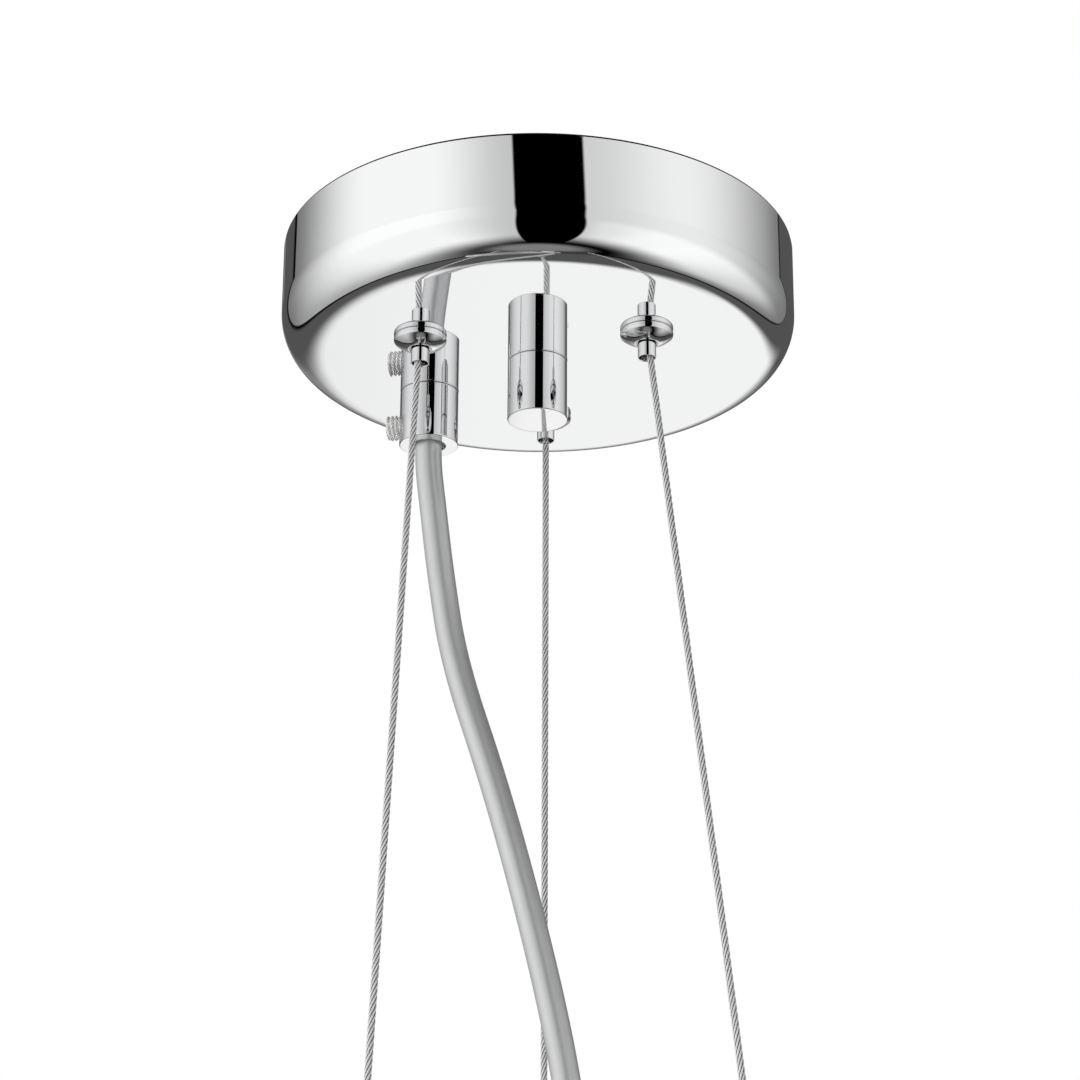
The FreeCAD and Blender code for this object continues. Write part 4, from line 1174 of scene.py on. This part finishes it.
grip_place = Matrix.Translation(polar(GRIP_CIRCLE, GRIP_ANGLE))
grip_part = turned([
    (STEM_BORE, STEM_TOP, 0.1),
    (STEM_ROOT, STEM_TOP, 0.1),
    (STEM_ROOT, STEM_THREAD_LOW, 0),
    (STEM_RADIUS, STEM_THREAD_LOW, 0),
    (STEM_RADIUS, FACE - SEAT_GAP, 0),
    (GRIP_RADIUS, FACE - SEAT_GAP, SEAT_EDGE),
    (GRIP_RADIUS, GRIP_LOW, END_EDGE),
    (GRIP_BORE, GRIP_LOW, 0.15),
    (GRIP_BORE, GRIP_ROOF, 0),
    (STEM_BORE, GRIP_ROOF, 0),
], steps=128)
stem_length = STEM_TOP - STEM_THREAD_LOW - THREAD_END
stem_thread = threaded(2 * STEM_RADIUS, STEM_PITCH, stem_length, core=STEM_CORE)
stem_place = grip_place @ Matrix.Translation((0, 0, STEM_THREAD_LOW))
grip = piece("cord_clamp", [(grip_part, grip_place), (stem_thread, stem_place)], "chrome", "canopy",
             "cord_grip_body", look="fitting")

liner_part = turned([
    (LINER_IN, LINER_LOW, 0.15),
    (LINER_OUT, LINER_LOW, 0.2),
    (LINER_OUT, GRIP_ROOF - LINER_GAP, 0),
    (LINER_IN, GRIP_ROOF - LINER_GAP, 0),
], steps=64)
piece("cord_bushing", [(liner_part, grip_place)], "nylon", "canopy", "cord_grip_liner")

clamp_length = CLAMP_END - CLAMP_START
clamp_axis = polar(GRIP_CIRCLE, GRIP_ANGLE, FACE - CLAMP_DROP)
clamp_place = along(clamp_axis + polar(CLAMP_START, CLAMP_ANGLE), polar(1, CLAMP_ANGLE))
clamp_part = slotted(threaded(*CLAMP_THREAD, clamp_length), clamp_length, *CLAMP_SLOT)
clamp = piece("nylon_screw", [(clamp_part, clamp_place)], "nylon", "cord_clamp_screw", "cord_clamp_screw",
              even=False)
print("grip", len(grip.data.polygons), "screw", len(clamp.data.polygons))

# %% [markdown]
# The centre stud is plain threaded rod that hangs from the ceiling strap and carries the round nut. A thread
# from end to end is all that it needs.

# %% Centre stud
STUD_LOW = -40.4
STUD_HIGH = -0.2
STUD_THREAD = (8.0, 1.25)

stud_part = threaded(*STUD_THREAD, STUD_HIGH - STUD_LOW)
stud = piece("threaded_rod", [(stud_part, Matrix.Translation((0, 0, STUD_LOW)))], "zinc", "ceiling_bracket",
             "centre_stud", even=False)
print("stud faces", len(stud.data.polygons))

# %% [markdown]
# Below the picture the coil is held by a cable tie, and the cord ends in a three-pole coupler with a ribbed
# neck. The coupler's body is a rounded outline pulled to its length, with three contact holes in its end.

# %% Coupler
COUPLER_WIDTH = 14.0
COUPLER_DEPTH = 9.0
COUPLER_LOW = -311.0
COUPLER_TOP = -287.0
COUPLER_ROUND = 1.5
CONTACT_RADIUS = 1.1
CONTACT_DEPTH = 9.0
CONTACT_PITCH = 4.0
CONTACT_SIDES = 24
GRIP_GROOVES = ((0.45, 0.52), (0.57, 0.64), (0.69, 0.76), (0.81, 0.88))
GROOVE_EDGE = 0.25
GROOVE_DEPTH = 0.4
UPRIGHT = 0.1
QUARTERS = ((-1, -1), (1, -1), (1, 1), (-1, 1))
NECK_BORE = 3.2
NECK_OUTLINE = [
    (NECK_BORE, 0, 0),
    (4.55, 0, 0),
    (4.55, 1.0, 0.2),
    (4.0, 1.0, 0),
    (4.0, 1.8, 0),
    (4.4, 1.8, 0.2),
    (4.4, 2.8, 0.2),
    (3.85, 2.8, 0),
    (3.85, 3.6, 0),
    (4.2, 3.6, 0.2),
    (4.1, 5.0, 0.4),
    (NECK_BORE, 5.0, 0),
]


def rounded_loop(part, width, depth, height, radius, segments=6):
    """A rectangle of edges with rounded corners."""
    corners = [part.verts.new((x * width / 2, y * depth / 2, height)) for x, y in QUARTERS]
    for first, second in zip(corners, corners[1:] + corners[:1]):
        part.edges.new((first, second))
    ease_corners(part, corners, radius, segments)


def coupler_part():
    """The coupler's body on its lower end, with grooves for the fingers and blind contact holes."""
    part = bmesh.new()
    rounded_loop(part, COUPLER_WIDTH, COUPLER_DEPTH, 0, COUPLER_ROUND)
    rise = COUPLER_TOP - COUPLER_LOW
    edges = part.edges[:]
    low = 0.0
    for level in [rise * share for groove in GRIP_GROOVES for share in groove] + [rise]:
        edges = edges_of(grown(part, edges, level - low))
        low = level
    bmesh.ops.holes_fill(part, edges=boundary(part, rise), sides=0)
    grooves = [face for face in part.faces if abs(face.normal.z) < UPRIGHT
               and any(start * rise < face.calc_center_median().z < end * rise
                       for start, end in GRIP_GROOVES)]
    face_outwards(part)
    bmesh.ops.inset_region(part, faces=grooves, thickness=GROOVE_EDGE, depth=-GROOVE_DEPTH,
                           use_even_offset=True)
    for contact in (-1, 0, 1):
        centre = Vector((CONTACT_PITCH * contact, 0, 0))
        walls = hole_wall(part, CONTACT_RADIUS, centre, 0, CONTACT_DEPTH, CONTACT_SIDES)
        rim = [edge for edge in edges_of(walls) if len(edge.link_faces) == 1]
        bmesh.ops.holes_fill(part, edges=rim, sides=0)
    fill_between(part, 0.0)
    face_outwards(part)
    return part


neck_part = turned(NECK_OUTLINE, steps=48)
coupler_place = Matrix.Translation((CORD_END[0], CORD_END[1], COUPLER_LOW))
neck_place = Matrix.Translation((CORD_END[0], CORD_END[1], COUPLER_TOP))
coupler = piece("cord_coupler", [(coupler_part(), coupler_place), (neck_part, neck_place)], "connector",
                "canopy", "cord_connector")
print("coupler faces", len(coupler.data.polygons))

# %% [markdown]
# The tie is a thin strap round all turns of the coil, with a locking head on its outer side.

# %% Cable tie
TIE_WIDTH = 4.0
TIE_BAND = 1.1
TIE_LEFT = -6.55
TIE_RIGHT = 13.95
TIE_FRONT = -2.25
TIE_BACK = 11.45
TIE_HEAD = (5.0, 6.5, 4.5)
TIE_ROUND = 4.5
TIE_ROUND_SEGMENTS = 10
HEAD_EDGE = 0.6
HEAD_EDGE_SEGMENTS = 3


def tie_parts():
    """The strap and its locking head, both round their own middle."""
    strap = bmesh.new()
    width = TIE_RIGHT - TIE_LEFT + 2 * TIE_BAND
    depth = TIE_BACK - TIE_FRONT + 2 * TIE_BAND
    rounded_loop(strap, width, depth, -TIE_WIDTH / 2, TIE_ROUND, TIE_ROUND_SEGMENTS)
    grown(strap, strap.edges[:], TIE_WIDTH)
    face_outwards(strap)
    bmesh.ops.solidify(strap, geom=strap.faces[:], thickness=TIE_BAND)
    head = bmesh.new()
    bmesh.ops.create_cube(head, size=1.0, matrix=Matrix.Diagonal((*TIE_HEAD, 1.0)))
    ease_corners(head, head.edges[:], HEAD_EDGE, HEAD_EDGE_SEGMENTS, affect="EDGES")
    return strap, head


tie_strap, tie_head = tie_parts()
tie_middle = (TIE_FRONT + TIE_BACK) / 2
head_across = TIE_RIGHT + TIE_BAND / 2 + TIE_HEAD[0] / 2
strap_place = Matrix.Translation(((TIE_LEFT + TIE_RIGHT) / 2, tie_middle, COIL_ENTRY[2]))
head_place = Matrix.Translation((head_across, tie_middle, COIL_ENTRY[2]))
tie = piece("cable_tie", [(tie_strap, strap_place), (tie_head, head_place)], "nylon", "canopy", "cord_tie")
print("tie faces", len(tie.data.polygons))

# %% [markdown]
# The solids that keep their own shape, such as the ceiling strap, nuts and terminals, take the finish of
# their slot in the record.

# %% Finishes of the kept solids
kept = 0
for row in frame["record"]["subparts"]:
    node = frame["nodes"][row["node"]]
    if node.hide_render:
        continue
    node.data.materials.clear()
    node.data.materials.append(FINISHES[row["material_slot"]])
    kept += 1
print("kept solids", kept)
